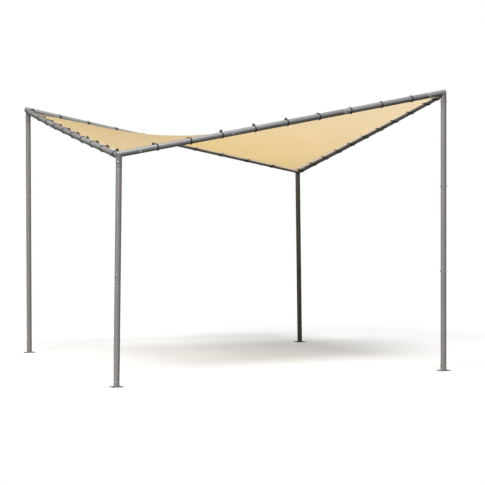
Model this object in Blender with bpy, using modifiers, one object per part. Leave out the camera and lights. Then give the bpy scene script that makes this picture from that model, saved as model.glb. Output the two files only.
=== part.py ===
"""Garden gazebo: round tube posts, sloping tube beams and a lashed saddle canopy.

The frame stands on the ground plane z = 0 with its plan centred on the origin.
Two opposite corners are low and two are high, so the canopy hangs as a saddle.
Corner low_a is at -X -Y, high_b at +X -Y, low_c at +X +Y and high_d at -X +Y.
"""
import math

import bmesh
import bpy
from mathutils import Matrix, Vector

# Plan and heights, in metres, measured to the tube axes.
HALF_PLAN = 1.525
HIGH_CORNER = 2.494
LOW_CORNER = 1.899
LOW_FOOT_SPLAY = 0.043

# How far each beam's axis lies below the line between its corner points:
# at its low end, at its high end, and the further sag halfway.
BEAM_DROPS = {
    "front": (0.0, 0.0, 0.003),
    "right": (0.010, 0.010, 0.0065),
    "back": (0.0, 0.0, 0.003),
    "left": (0.012, 0.018, 0.013),
}

# Tube stock and the joints between its lengths.
TUBE_RADIUS = 0.0254
TUBE_SIDES = 20
NECK_RADIUS = 0.0234
NECK_LENGTH = 0.004
END_CHAMFER = 0.003
JOINT_GAP = 0.0005

# Corner fittings: a through arm, a side arm and a leg, welded together.
# The through arm runs past the leg by its corner's overrun.
LOW_ARM_REACH = 0.226
HIGH_ARM_REACH = 0.176
ARM_OVERRUN = {"low_a": 0.028, "high_b": 0.020, "low_c": 0.028, "high_d": 0.037}
HIGH_LEG_END = 2.360
LOW_LEG_END = 1.790

# Lengths of the beams and posts between their joints.
END_TUBE = 0.836
HIGH_POST_JOINTS = (0.870, 1.620)
LOW_POST_JOINTS = (0.870,)

# Square foot plates.
PLATE_SIDE = 0.104
PLATE_THICKNESS = 0.004
PLATE_EDGE = 0.0008
FOOT_CLEARANCE = 0.0001

# Canopy sheet and the doubled hem around it.
HEM_OUTER = 0.040
HEM_INNER = 0.084
SHEET_GAP = 0.0003
SHEET_THICKNESS = 0.003
SHEET_CELLS = 12
HEM_CELLS = 14
CENTRE_DROP = 0.036

# Elastic ties: a double cord round the tube, through an eyelet, with a ball.
EYELET_REACH = 0.062
BALL_ON_HEM = (0.065, 0.0127)
BALL_ON_TUBE = (0.020, 0.037)
BALL_RADIUS = 0.0135
BALL_SUBDIVISIONS = 2
BAND_WIDTH = 0.011
BAND_THICKNESS = 0.005
BAND_ARC_STEPS = 8
BAND_WRAP = math.radians(234.0)
BAND_CLEARANCE = 0.0004

# Points closer than this are one point, in metres.
MERGE_DISTANCE = 0.00001

CORNERS = {
    "low_a": (-1, -1),
    "high_b": (1, -1),
    "low_c": (1, 1),
    "high_d": (-1, 1),
}

# Each side runs from a low corner to a high one; ties are (first, spacing, count)
# and the ball is at (reach, rise) from the tube axis.
SIDES = {
    "front": {
        "start": "low_a", "end": "high_b", "ties": (0.323, 0.301, 9), "corner_ties": (),
        "ball": BALL_ON_TUBE,
    },
    "right": {
        "start": "low_c", "end": "high_b", "ties": (0.424, 0.295, 9), "corner_ties": (0.120, 2.940),
        "ball": BALL_ON_HEM,
    },
    "back": {
        "start": "low_c", "end": "high_d", "ties": (0.311, 0.298, 9), "corner_ties": (),
        "ball": BALL_ON_HEM,
    },
    "left": {
        "start": "low_a", "end": "high_d", "ties": (0.533, 0.302, 8), "corner_ties": (0.149, 2.952),
        "ball": BALL_ON_HEM,
    },
}

COLOURS = {
    "steel": ((0.30, 0.30, 0.31), 0.42, 0.35),
    "plate": ((0.24, 0.24, 0.25), 0.50, 0.35),
    "cloth": ((0.72, 0.57, 0.31), 0.85, 0.0),
    "hem": ((0.62, 0.48, 0.26), 0.85, 0.0),
}


def clear_scene():
    """Remove the objects of the start-up scene."""
    for old in list(bpy.data.objects):
        bpy.data.objects.remove(old, do_unlink=True)


def make_collection(name):
    """Link and return a collection."""
    group = bpy.data.collections.new(name)
    bpy.context.scene.collection.children.link(group)
    return group


def make_material(name):
    """Principled material from the colour table."""
    colour, roughness, metallic = COLOURS[name]
    material = bpy.data.materials.new(name)
    material.use_nodes = True
    shader = material.node_tree.nodes["Principled BSDF"]
    shader.inputs["Base Color"].default_value = (*colour, 1.0)
    shader.inputs["Roughness"].default_value = roughness
    shader.inputs["Metallic"].default_value = metallic
    return material


def add_object(name, mesh, group, material=None):
    """Make an object of a mesh in a collection."""
    thing = bpy.data.objects.new(name, mesh)
    group.objects.link(thing)
    if material is not None:
        mesh.materials.append(material)
    return thing


def as_cutter(thing):
    """Mark an object that only joins into another one."""
    thing.hide_render = True
    thing.display_type = "WIRE"
    return thing


def join_solid(thing, cutter):
    """Union one solid into another."""
    union = thing.modifiers.new("Join " + cutter.name, "BOOLEAN")
    union.operation = "UNION"
    union.solver = "EXACT"
    union.object = cutter


def corner_height(corner):
    """Height of the through arm's axis over a corner post."""
    return HIGH_CORNER if corner.startswith("high") else LOW_CORNER


def corner_point(corner):
    """Point where the post axis meets the through arm's axis."""
    sign_x, sign_y = CORNERS[corner]
    return Vector((sign_x * HALF_PLAN, sign_y * HALF_PLAN, corner_height(corner)))


def foot_point(corner):
    """Point where the post axis meets the ground; the low posts splay outward."""
    sign_x, sign_y = CORNERS[corner]
    splay = 0.0 if corner.startswith("high") else LOW_FOOT_SPLAY
    reach = HALF_PLAN + splay
    return Vector((sign_x * reach, sign_y * reach, 0.0))


def post_point(corner, height):
    """Point of a post's axis at a height."""
    share = height / corner_height(corner)
    return foot_point(corner).lerp(corner_point(corner), share)


def runs_along_y(side):
    """Tell whether a side's beam runs along Y."""
    return side in ("left", "right")


def beam_drop(side, share):
    """How far a beam's axis lies below the line between its corners, at a share of it."""
    low, high, sag = BEAM_DROPS[side]
    return low + (high - low) * share + 4.0 * sag * share * (1.0 - share)


def beam_point(side, distance):
    """Point of a beam's axis at a plan distance from its first corner."""
    ends = SIDES[side]
    start, end = corner_point(ends["start"]), corner_point(ends["end"])
    share = distance / (2.0 * HALF_PLAN)
    point = start.lerp(end, share)
    point.z -= beam_drop(side, share)
    return point


def beam_stations():
    """Plan distances at which a beam's straight lengths begin and end."""
    span = 2.0 * HALF_PLAN
    first, last = LOW_ARM_REACH, span - HIGH_ARM_REACH
    return (0.0, first, first + END_TUBE, last - END_TUBE, last, span)


def tube_line(side, distance):
    """Start and end of the straight length that covers a plan distance."""
    stations = beam_stations()
    for first, last in zip(stations, stations[1:]):
        if distance <= last:
            break
    return beam_point(side, first), beam_point(side, last), (distance - first) / (last - first)


def inward(side):
    """Level direction from a beam toward the middle of the plan."""
    start, end = SIDES[side]["start"], SIDES[side]["end"]
    middle = (corner_point(start) + corner_point(end)) / 2.0
    return Vector((-middle.x, -middle.y, 0.0)).normalized()


def sheet_height(x, y):
    """Height of the canopy's middle surface; it follows the nearer side beam's drop."""
    u, v = x / HALF_PLAN, y / HALF_PLAN
    middle = (HIGH_CORNER + LOW_CORNER) / 2.0
    twist = (HIGH_CORNER - LOW_CORNER) / 2.0
    side, share = ("left", (1.0 + v) / 2.0) if u < 0.0 else ("right", (1.0 - v) / 2.0)
    dip = CENTRE_DROP * (1.0 - u * u) * (1.0 - v * v)
    return middle - twist * u * v - beam_drop(side, share) * u * u - dip


def place_along(thing, start, end):
    """Stand an object's local Z along the line from one point to another."""
    thing.location = start
    thing.rotation_euler = (end - start).to_track_quat("Z", "Y").to_euler()


def turned(name, profile, group, material=None):
    """Solid of revolution about Z from a profile that runs from the top down."""
    mesh = bpy.data.meshes.new(name)
    edges = [(i, i + 1) for i in range(len(profile) - 1)]
    mesh.from_pydata([(radius, 0.0, z) for radius, z in profile], edges, [])
    thing = add_object(name, mesh, group, material)
    screw = thing.modifiers.new("Turn", "SCREW")
    screw.axis = "Z"
    screw.steps = TUBE_SIDES
    screw.render_steps = TUBE_SIDES
    screw.use_merge_vertices = True
    screw.merge_threshold = MERGE_DISTANCE
    screw.use_smooth_shade = True
    return thing


def tube_profile(length, neck_start, neck_end, chamfer_start=False):
    """Profile of a straight tube with a reduced neck where it enters a sleeve."""
    points = [(0.0, length)]
    if neck_end:
        points += [(NECK_RADIUS, length), (NECK_RADIUS, length - NECK_LENGTH)]
        points += [(TUBE_RADIUS, length - NECK_LENGTH)]
    else:
        points += [(TUBE_RADIUS, length)]
    if neck_start:
        points += [(TUBE_RADIUS, NECK_LENGTH), (NECK_RADIUS, NECK_LENGTH), (NECK_RADIUS, 0.0)]
    elif chamfer_start:
        points += [(TUBE_RADIUS, END_CHAMFER), (TUBE_RADIUS - END_CHAMFER, 0.0)]
    else:
        points += [(TUBE_RADIUS, 0.0)]
    return points + [(0.0, 0.0)]


def make_tube(name, start, end, group, material, neck_start=False, neck_end=False):
    """One length of tube between two axis points, short of each by half a gap."""
    direction = (end - start).normalized()
    start = start + direction * (JOINT_GAP / 2.0)
    end = end - direction * (JOINT_GAP / 2.0)
    profile = tube_profile((end - start).length, neck_start, neck_end)
    thing = turned(name, profile, group, material)
    place_along(thing, start, end)
    return thing


def make_foot(corner, group, material):
    """Square plate under a post."""
    mesh = bpy.data.meshes.new("foot_" + corner)
    shape = bmesh.new()
    bmesh.ops.create_cube(shape, size=1.0)
    bmesh.ops.scale(shape, vec=(PLATE_SIDE, PLATE_SIDE, PLATE_THICKNESS), verts=shape.verts)
    shape.to_mesh(mesh)
    shape.free()
    thing = add_object("foot_" + corner, mesh, group, material)
    base = post_point(corner, PLATE_THICKNESS)
    thing.location = (base.x, base.y, PLATE_THICKNESS / 2.0)
    bevel = thing.modifiers.new("Edge", "BEVEL")
    bevel.width = PLATE_EDGE
    bevel.segments = 1
    return thing


def make_posts(corner, group, material):
    """Stacked tubes of a post, each necked at its top."""
    high = corner.startswith("high")
    joints = HIGH_POST_JOINTS if high else LOW_POST_JOINTS
    names = ("lower", "middle", "upper") if high else ("lower", "upper")
    top = HIGH_LEG_END if high else LOW_LEG_END
    axis = corner_point(corner) - foot_point(corner)
    lean = math.hypot(axis.x, axis.y) / axis.length
    heights = (PLATE_THICKNESS + FOOT_CLEARANCE + TUBE_RADIUS * lean, *joints, top)
    for name, low, up in zip(names, heights, heights[1:]):
        start, end = post_point(corner, low), post_point(corner, up)
        make_tube(f"post_{corner}_{name}", start, end, group, material, neck_end=True)


def make_fitting(corner, group, cutters, material):
    """Three-way corner: leg, through arm and side arm in one welded piece."""
    peak = corner_point(corner)
    leg_end = HIGH_LEG_END if corner.startswith("high") else LOW_LEG_END
    base = post_point(corner, leg_end)
    along = (peak - base).normalized()
    base = base + along * (JOINT_GAP / 2.0)
    leg = turned("fitting_" + corner, tube_profile((peak - base).length, False, False), group, material)
    place_along(leg, base, peak)
    for side in SIDES:
        if corner not in (SIDES[side]["start"], SIDES[side]["end"]):
            continue
        stations = beam_stations()
        near, far = stations[:2] if SIDES[side]["start"] == corner else stations[:-3:-1]
        inner, outer = beam_point(side, near), beam_point(side, far)
        along = (outer - inner).normalized()
        through = not runs_along_y(side)
        if through:
            inner = inner - along * ARM_OVERRUN[corner]
        outer = outer - along * (JOINT_GAP / 2.0)
        profile = tube_profile((outer - inner).length, False, False, chamfer_start=through)
        arm = as_cutter(turned(f"arm_{corner}_{side}", profile, cutters))
        place_along(arm, inner, outer)
        join_solid(leg, arm)


def make_beam(side, group, material):
    """Three tubes between two corner fittings; the middle one is necked twice."""
    stations = beam_stations()[1:-1]
    necks = ((True, False), (True, True), (False, True))
    for index, (first, last) in enumerate(zip(stations, stations[1:])):
        start, end = beam_point(side, first), beam_point(side, last)
        neck_start, neck_end = necks[index]
        make_tube(f"beam_{side}_{index + 1}", start, end, group, material, neck_start, neck_end)


def solidify(thing):
    """Give a surface the cloth's thickness, half to each side."""
    shell = thing.modifiers.new("Thickness", "SOLIDIFY")
    shell.thickness = SHEET_THICKNESS
    shell.offset = 0.0


def grid_mesh(name, cells_x, cells_y, place):
    """Grid over the unit square, each vertex moved by a function of its place."""
    mesh = bpy.data.meshes.new(name)
    shape = bmesh.new()
    bmesh.ops.create_grid(shape, x_segments=cells_x, y_segments=cells_y, size=1.0)
    for vertex in shape.verts:
        vertex.co = place(vertex.co.x, vertex.co.y)
    shape.normal_update()
    if sum(face.normal.z for face in shape.faces) < 0.0:
        bmesh.ops.reverse_faces(shape, faces=shape.faces)
    for face in shape.faces:
        face.smooth = True
    shape.to_mesh(mesh)
    shape.free()
    return mesh


def make_canopy(group, material):
    """The saddle sheet inside the hem."""
    half = HALF_PLAN - HEM_INNER - SHEET_GAP

    def place(u, v):
        x, y = u * half, v * half
        return Vector((x, y, sheet_height(x, y)))

    thing = add_object("canopy", grid_mesh("canopy", SHEET_CELLS, SHEET_CELLS, place), group, material)
    solidify(thing)
    return thing


def hem_mesh(side):
    """Strip along one side of the sheet, mitred at both corners."""
    toward = inward(side)
    start, end = corner_point(SIDES[side]["start"]), corner_point(SIDES[side]["end"])
    along = Vector((end.x - start.x, end.y - start.y, 0.0)).normalized()

    def place(u, v):
        reach = HEM_OUTER if v < 0.0 else HEM_INNER
        half = HALF_PLAN - reach - SHEET_GAP
        point = along * (u * half) - toward * (HALF_PLAN - reach)
        return Vector((point.x, point.y, sheet_height(point.x, point.y)))

    return grid_mesh("hem_" + side, HEM_CELLS, 1, place)


def band_outline(offset):
    """Teardrop outline round the tube and out to the eyelet, at an offset."""
    step = (2.0 * math.pi - 2.0 * math.acos(band_radius() / EYELET_REACH)) / BAND_ARC_STEPS
    first = math.acos(band_radius() / EYELET_REACH)
    radius = band_radius() + offset
    points = [(EYELET_REACH * radius / band_radius(), 0.0)]
    for index in range(BAND_ARC_STEPS + 1):
        angle = first + index * step
        points.append((radius * math.cos(angle), radius * math.sin(angle)))
    return points


def band_radius():
    """Radius of the cord's centre line, so that its flats clear the tube."""
    half_step = BAND_WRAP / (2.0 * BAND_ARC_STEPS)
    return (TUBE_RADIUS + BAND_CLEARANCE + BAND_THICKNESS / 2.0) / math.cos(half_step)


def band_mesh():
    """Flat loop of cord, as a filled outline with a hole, extruded."""
    outline = bpy.data.curves.new("tie_band", "CURVE")
    outline.dimensions = "2D"
    outline.fill_mode = "BOTH"
    outline.extrude = BAND_WIDTH / 2.0
    for offset in (BAND_THICKNESS / 2.0, -BAND_THICKNESS / 2.0):
        points = band_outline(offset)
        spline = outline.splines.new("POLY")
        spline.points.add(len(points) - 1)
        for slot, (x, y) in zip(spline.points, points):
            slot.co = (x, y, 0.0, 1.0)
        spline.use_cyclic_u = True
    holder = bpy.data.objects.new("tie_band", outline)
    mesh = evaluated_mesh(holder)
    bpy.data.objects.remove(holder, do_unlink=True)
    shape = bmesh.new()
    shape.from_mesh(mesh)
    bmesh.ops.remove_doubles(shape, verts=shape.verts, dist=MERGE_DISTANCE)
    bmesh.ops.recalc_face_normals(shape, faces=shape.faces)
    shape.to_mesh(mesh)
    shape.free()
    return mesh


def evaluated_mesh(thing):
    """Mesh of an unlinked object with its modifiers applied."""
    bpy.context.scene.collection.objects.link(thing)
    graph = bpy.context.evaluated_depsgraph_get()
    return bpy.data.meshes.new_from_object(thing.evaluated_get(graph))


def tie_mesh(ball_place, cutters):
    """One tie in its own frame: the cord's loop joined to its ball.

    ball_place is the ball's reach and rise from the tube axis.
    """
    ball = bpy.data.meshes.new("tie_ball")
    shape = bmesh.new()
    centre = Matrix.Translation((*ball_place, 0.0))
    bmesh.ops.create_icosphere(shape, subdivisions=BALL_SUBDIVISIONS, radius=BALL_RADIUS, matrix=centre)
    shape.to_mesh(ball)
    shape.free()
    cutter = as_cutter(add_object("tie_ball", ball, cutters))
    loop = bpy.data.objects.new("tie_loop", band_mesh())
    join_solid(loop, cutter)
    mesh = evaluated_mesh(loop)
    bpy.data.objects.remove(loop, do_unlink=True)
    bpy.data.objects.remove(cutter, do_unlink=True)
    return mesh


def tie_frame(side, distance):
    """Matrix at the tube axis: X toward the eyelet, Z along the tube."""
    start, end, share = tube_line(side, distance)
    origin = start.lerp(end, share)
    along = (end - start).normalized()
    toward = inward(side)
    eyelet = origin + toward * EYELET_REACH
    eyelet.z = sheet_height(eyelet.x, eyelet.y)
    upright = toward.cross(along)
    if upright.z < 0.0:
        upright.negate()
    aim = eyelet - origin
    axis_x = (toward * aim.dot(toward) + upright * aim.dot(upright)).normalized()
    axis_y = (upright - axis_x * upright.dot(axis_x)).normalized()
    axis_z = axis_x.cross(axis_y)
    frame = Matrix((axis_x, axis_y, axis_z)).transposed().to_4x4()
    frame.translation = origin
    return frame


def tie_distances(side):
    """Plan distances of a side's ties from its first corner."""
    first, spacing, count = SIDES[side]["ties"]
    regular = [first + index * spacing for index in range(count)]
    return regular + list(SIDES[side]["corner_ties"])


def make_hem(side, group, cutters, material):
    """Hem strip with the side's ties joined to it at their eyelets."""
    tie = tie_mesh(SIDES[side]["ball"], cutters)
    hem = add_object("hem_ties_" + side, hem_mesh(side), group, material)
    solidify(hem)
    mesh = bpy.data.meshes.new("ties_" + side)
    shape = bmesh.new()
    for distance in tie_distances(side):
        known = len(shape.verts)
        shape.from_mesh(tie)
        shape.verts.ensure_lookup_table()
        bmesh.ops.transform(shape, matrix=tie_frame(side, distance), verts=shape.verts[known:])
    shape.to_mesh(mesh)
    shape.free()
    bpy.data.meshes.remove(tie)
    join_solid(hem, as_cutter(add_object("ties_" + side, mesh, cutters)))
    return hem


def main():
    """Build every piece of the gazebo."""
    clear_scene()
    group = make_collection("garden_gazebo")
    cutters = make_collection("cutters")
    materials = {name: make_material(name) for name in COLOURS}
    for corner in CORNERS:
        make_foot(corner, group, materials["plate"])
        make_posts(corner, group, materials["steel"])
        make_fitting(corner, group, cutters, materials["steel"])
    for side in SIDES:
        make_beam(side, group, materials["steel"])
    make_canopy(group, materials["cloth"])
    for side in SIDES:
        make_hem(side, group, cutters, materials["hem"])


main()
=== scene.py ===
"""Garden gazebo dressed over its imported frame, in metres with Z up.

Grey steel tubes, reduced at one end and bolted into each other, make four posts and
four sloping beams. A saddle of shade cloth hangs inside them on black ball ties.
"""
import logging
import math
from collections.abc import Iterable, Sequence
from dataclasses import dataclass, field
from enum import Enum

import bmesh
import bpy
from mathutils import Matrix, Vector


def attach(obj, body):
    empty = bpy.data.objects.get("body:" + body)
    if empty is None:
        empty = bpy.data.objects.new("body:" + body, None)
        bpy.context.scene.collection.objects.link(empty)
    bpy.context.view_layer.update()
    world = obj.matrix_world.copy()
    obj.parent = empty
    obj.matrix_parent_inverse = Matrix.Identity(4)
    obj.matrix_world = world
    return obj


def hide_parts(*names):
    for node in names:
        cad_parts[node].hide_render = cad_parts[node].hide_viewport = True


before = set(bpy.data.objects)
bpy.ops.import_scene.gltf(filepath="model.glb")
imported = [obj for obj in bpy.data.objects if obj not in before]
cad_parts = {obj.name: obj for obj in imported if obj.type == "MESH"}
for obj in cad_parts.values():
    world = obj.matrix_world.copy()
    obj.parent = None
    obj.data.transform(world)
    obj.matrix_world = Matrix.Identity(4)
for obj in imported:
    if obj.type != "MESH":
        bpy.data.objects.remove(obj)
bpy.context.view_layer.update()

LOG = logging.getLogger("gazebo")
BODY = "root"
FULL_TURN = 2.0 * math.pi

Rgba = tuple[float, float, float, float]
Profile = list[tuple[float, float]]
# A node's inputs, by socket name or number, and values or sockets by name.
Inputs = dict[str | int, object]
Named = dict[str, object]
# Where a repeated piece is set: its point, the way it faces and the way its X lies.
Seat = tuple[Vector, Vector, Vector]


def linear(code: str) -> Rgba:
    """Turn an sRGB hex colour into linear RGBA.

    Args:
        code: colour such as "#c8b48c".
    Returns:
        The linear colour with full alpha.
    """
    channels = [int(code[i:i + 2], 16) / 255.0 for i in (1, 3, 5)]
    red, green, blue = (
        c / 12.92 if c <= 0.04045 else ((c + 0.055) / 1.055) ** 2.4 for c in channels)
    return red, green, blue, 1.0


def add_node(tree: bpy.types.NodeTree, kind: str, inputs: Inputs | None = None,
             **settings: object) -> bpy.types.Node:
    """Add a node with its settings and links.

    Args:
        tree: node tree that gets the node.
        kind: the node's type name.
        inputs: socket name or number to a value, a socket or a node to link from.
        settings: the node's own properties.
    Returns:
        The new node.
    """
    node = tree.nodes.new(kind)
    for name, value in settings.items():
        setattr(node, name, value)
    for key, value in (inputs or {}).items():
        if isinstance(key, int):
            socket = node.inputs[key]
        else:
            socket = next(s for s in node.inputs if s.name == key and s.enabled)
        if isinstance(value, bpy.types.Node):
            value = next(s for s in value.outputs if s.enabled)
        if isinstance(value, bpy.types.NodeSocket):
            tree.links.new(value, socket)
        else:
            socket.default_value = value
    return node


def add_rule(tree: bpy.types.NodeTree, known: Named, steps: Iterable[tuple]) -> Named:
    """Write a formula into a tree, one operation a step.

    Args:
        tree: node tree that gets the formula.
        known: sockets by name; the steps add to it.
        steps: (name, operation, *terms), each term a known name or a number.
    Returns:
        The sockets by name.
    """
    for name, operation, *terms in steps:
        inputs = {number: known.get(term, term) for number, term in enumerate(terms)}
        known[name] = add_node(tree, "ShaderNodeMath", inputs, operation=operation)
    return known


class NodeRecipe:
    """Geometry Nodes tree with named inputs that turns one mesh into another."""

    KINDS = {
        bpy.types.Object: "NodeSocketObject",
        bpy.types.Material: "NodeSocketMaterial",
        int: "NodeSocketInt",
        float: "NodeSocketFloat",
    }

    def __init__(self, name: str, values: Named) -> None:
        """Start a tree.

        Args:
            name: the tree's name.
            values: the named inputs and what each is set to.
        """
        self.name = name
        self.values = values
        self.tree = bpy.data.node_groups.new(name, "GeometryNodeTree")
        self.tree.is_modifier = True
        sockets = self.tree.interface
        sockets.new_socket("Geometry", in_out="INPUT", socket_type="NodeSocketGeometry")
        sockets.new_socket("Geometry", in_out="OUTPUT", socket_type="NodeSocketGeometry")
        for label, value in values.items():
            kind = next(kind for known, kind in self.KINDS.items() if isinstance(value, known))
            sockets.new_socket(label, in_out="INPUT", socket_type=kind)
        self.entry = add_node(self.tree, "NodeGroupInput")

    def __getitem__(self, label: str) -> bpy.types.NodeSocket:
        """Socket of a named input."""
        return self.entry.outputs[label]

    def add(self, kind: str, inputs: Inputs | None = None, **settings: object) -> bpy.types.Node:
        """Add a node to this tree; see add_node."""
        return add_node(self.tree, kind, inputs, **settings)

    def close(self, geometry: bpy.types.Node) -> None:
        """End the tree in Realize Instances and Set Material.

        Args:
            geometry: the node whose geometry is the result.
        """
        real = self.add("GeometryNodeRealizeInstances", {"Geometry": geometry})
        painted = self.add("GeometryNodeSetMaterial", {
            "Geometry": real, "Material": self["Finish"]})
        self.add("NodeGroupOutput", {"Geometry": painted})

    def run(self, source: bpy.types.Mesh) -> bpy.types.Mesh:
        """Run the tree over a mesh.

        Args:
            source: the mesh that it starts from.
        Returns:
            The result as a plain mesh.
        """
        carrier = add_object(self.name, source)
        growth = carrier.modifiers.new(self.name, "NODES")
        growth.node_group = self.tree
        for item in self.tree.interface.items_tree:
            if item.in_out == "INPUT" and item.name in self.values:
                growth[item.identifier] = self.values[item.name]
        mesh = applied(carrier)
        carrier.modifiers.remove(growth)
        bpy.data.objects.remove(carrier, do_unlink=True)
        return mesh


def add_object(name: str, mesh: bpy.types.Mesh) -> bpy.types.Object:
    """Link a mesh into the scene as an object at the origin.

    Args:
        name: the object's name.
        mesh: its mesh.
    Returns:
        The object.
    """
    thing = bpy.data.objects.new(name, mesh)
    bpy.context.scene.collection.objects.link(thing)
    return thing


def applied(thing: bpy.types.Object) -> bpy.types.Mesh:
    """Mesh of an object with its modifiers applied."""
    graph = bpy.context.evaluated_depsgraph_get()
    return bpy.data.meshes.new_from_object(thing.evaluated_get(graph))


def shade(mesh: bpy.types.Mesh, angle: float = 32.0) -> bpy.types.Mesh:
    """Shade a mesh smooth, with edges sharper than an angle kept hard.

    Args:
        mesh: the mesh.
        angle: in degrees.
    Returns:
        The same mesh.
    """
    mesh.polygons.foreach_set("use_smooth", [True] * len(mesh.polygons))
    mesh.set_sharp_from_angle(angle=math.radians(angle))
    return mesh


def mesh_of(name: str, shape: bmesh.types.BMesh) -> bpy.types.Mesh:
    """Turn a bmesh into a mesh and free it.

    Args:
        name: the mesh's name.
        shape: the bmesh.
    Returns:
        The mesh.
    """
    mesh = bpy.data.meshes.new(name)
    shape.to_mesh(mesh)
    shape.free()
    return mesh


def round_turns(sides: int) -> list[float]:
    """Angles of even steps round a circle."""
    return [FULL_TURN * i / sides for i in range(sides)]


def blank_material(name: str) -> tuple[bpy.types.Material, bpy.types.NodeTree]:
    """Start a material.

    Args:
        name: the material's name.
    Returns:
        The material and its empty tree.
    """
    material = bpy.data.materials.new(name)
    material.use_nodes = True
    material.node_tree.nodes.clear()
    return material, material.node_tree


def settle(name: str, mesh: bpy.types.Mesh,
           nodes: Sequence[str] = ()) -> bpy.types.Object:
    """Make a finished piece of a mesh, hang it on the body and hide the CAD nodes it stands for.

    Args:
        name: the piece's name.
        mesh: its mesh, in place, with its material.
        nodes: the CAD nodes that it stands for.
    Returns:
        The piece.
    """
    piece = add_object(name, mesh)
    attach(piece, BODY)
    if nodes:
        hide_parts(*nodes)
    LOG.info("%s: %d faces", name, len(mesh.polygons))
    return piece


def lathe(name: str, profile: Profile, sides: int, place: Matrix = Matrix()) -> bpy.types.Mesh:
    """Closed solid of revolution about Z.

    Args:
        name: the mesh's name.
        profile: (radius, height) from the bottom pole to the top pole.
        sides: number of sides.
        place: matrix that puts it in the scene.
    Returns:
        The mesh, with its faces outward.
    """
    shape = bmesh.new()
    turns = round_turns(sides)
    rings = []
    for radius, height in profile:
        if radius == 0.0:
            rings.append([shape.verts.new((0.0, 0.0, height))] * sides)
            continue
        places = ((radius * math.cos(a), radius * math.sin(a), height) for a in turns)
        rings.append([shape.verts.new(place) for place in places])
    for below, above in zip(rings, rings[1:]):
        for i in range(sides):
            j = (i + 1) % sides
            # A pole stands for two corners of its faces, which makes them triangles.
            shape.faces.new(dict.fromkeys((below[i], below[j], above[j], above[i])))
    bmesh.ops.recalc_face_normals(shape, faces=shape.faces)
    mesh = mesh_of(name, shape)
    mesh.transform(place)
    return shade(mesh)


def wire(name: str, runs: Iterable[Sequence[Vector]]) -> bpy.types.Mesh:
    """Mesh of open chains of edges, one for each run of points.

    Args:
        name: the mesh's name.
        runs: the points of each chain.
    Returns:
        The mesh.
    """
    points: list[Vector] = []
    edges: list[tuple[int, int]] = []
    for run in runs:
        first = len(points)
        points.extend(run)
        edges.extend((i, i + 1) for i in range(first, len(points) - 1))
    mesh = bpy.data.meshes.new(name)
    mesh.from_pydata(points, edges, [])
    return mesh


def eased(points: list[Vector], passes: int = 2, cut: float = 0.25) -> list[Vector]:
    """Round the corners of a path by cutting each one, with its two ends kept.

    Args:
        points: the path.
        passes: how many times the corners are cut.
        cut: share of a straight run that each cut takes from its end.
    Returns:
        The rounded path.
    """
    for _ in range(passes):
        kept = [points[0]]
        for here, there in zip(points, points[1:]):
            kept += [here.lerp(there, cut), here.lerp(there, 1.0 - cut)]
        points = [*kept, points[-1]]
    return points


def upright(along: Vector, level: Vector) -> Vector:
    """Direction square to a tube and to a level line, on the side that points up.

    Args:
        along: the tube's direction.
        level: the level direction.
    Returns:
        The direction.
    """
    square = along.cross(level)
    return square if square.z > 0.0 else -square


def seats(name: str, places: Sequence[Seat]) -> bpy.types.Mesh:
    """Points that pieces are set on.

    Args:
        name: the mesh's name.
        places: (point, the way the piece faces, the way its X lies).
    Returns:
        Mesh of loose points with "facing" and "along" attributes.
    """
    mesh = bpy.data.meshes.new(name)
    mesh.from_pydata([point for point, _, _ in places], [], [])
    for label, column in (("facing", 1), ("along", 2)):
        values = mesh.attributes.new(label, "FLOAT_VECTOR", "POINT")
        values.data.foreach_set("vector", [c for place in places for c in place[column]])
    return mesh


def scatter(name: str, template: bpy.types.Mesh, places: Sequence[Seat],
            finish: bpy.types.Material, scale: float = 1.0) -> bpy.types.Mesh:
    """Set copies of one mesh on seats.

    Args:
        name: the tree's name.
        template: the mesh that is repeated, with Z the way it faces.
        places: the seats.
        finish: the material.
        scale: size of the copies against the template.
    Returns:
        All the copies as one mesh.
    """
    pattern = add_object(name + "_template", template)
    recipe = NodeRecipe(name, {"Template": pattern, "Scale": scale, "Finish": finish})
    ways = [
        recipe.add("GeometryNodeInputNamedAttribute", {"Name": label}, data_type="FLOAT_VECTOR")
        for label in ("facing", "along")
    ]
    turn = recipe.add("FunctionNodeAlignRotationToVector", {"Vector": ways[0]}, axis="Z")
    turn = recipe.add("FunctionNodeAlignRotationToVector", {
        "Rotation": turn, "Vector": ways[1]}, axis="X", pivot_axis="Z")
    source = recipe.add("GeometryNodeObjectInfo", {"Object": recipe["Template"]})
    recipe.close(recipe.add("GeometryNodeInstanceOnPoints", {
        "Points": recipe["Geometry"], "Instance": source.outputs["Geometry"], "Rotation": turn,
        "Scale": recipe["Scale"],
    }))
    mesh = recipe.run(seats(name, places))
    bpy.data.objects.remove(pattern, do_unlink=True)
    return mesh


# ---------------------------------------------------------------- frame geometry


class Corner(Enum):
    """Corner of the plan, as its signs along X and Y."""

    LOW_A = (-1, -1)
    HIGH_B = (1, -1)
    LOW_C = (1, 1)
    HIGH_D = (-1, 1)

    @property
    def high(self) -> bool:
        """Whether the corner is one of the two high ones."""
        return self.name.startswith("HIGH")

    @property
    def label(self) -> str:
        """The corner's part of the CAD node names."""
        return self.name.lower()


class Side(Enum):
    """Side of the plan, by the corners its beam runs between, low one first."""

    FRONT = (Corner.LOW_A, Corner.HIGH_B)
    RIGHT = (Corner.LOW_C, Corner.HIGH_B)
    BACK = (Corner.LOW_C, Corner.HIGH_D)
    LEFT = (Corner.LOW_A, Corner.HIGH_D)

    @property
    def label(self) -> str:
        """The side's part of the CAD node names."""
        return self.name.lower()

    @property
    def crosswise(self) -> bool:
        """Whether the beam runs along Y."""
        return self in (Side.RIGHT, Side.LEFT)


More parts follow.
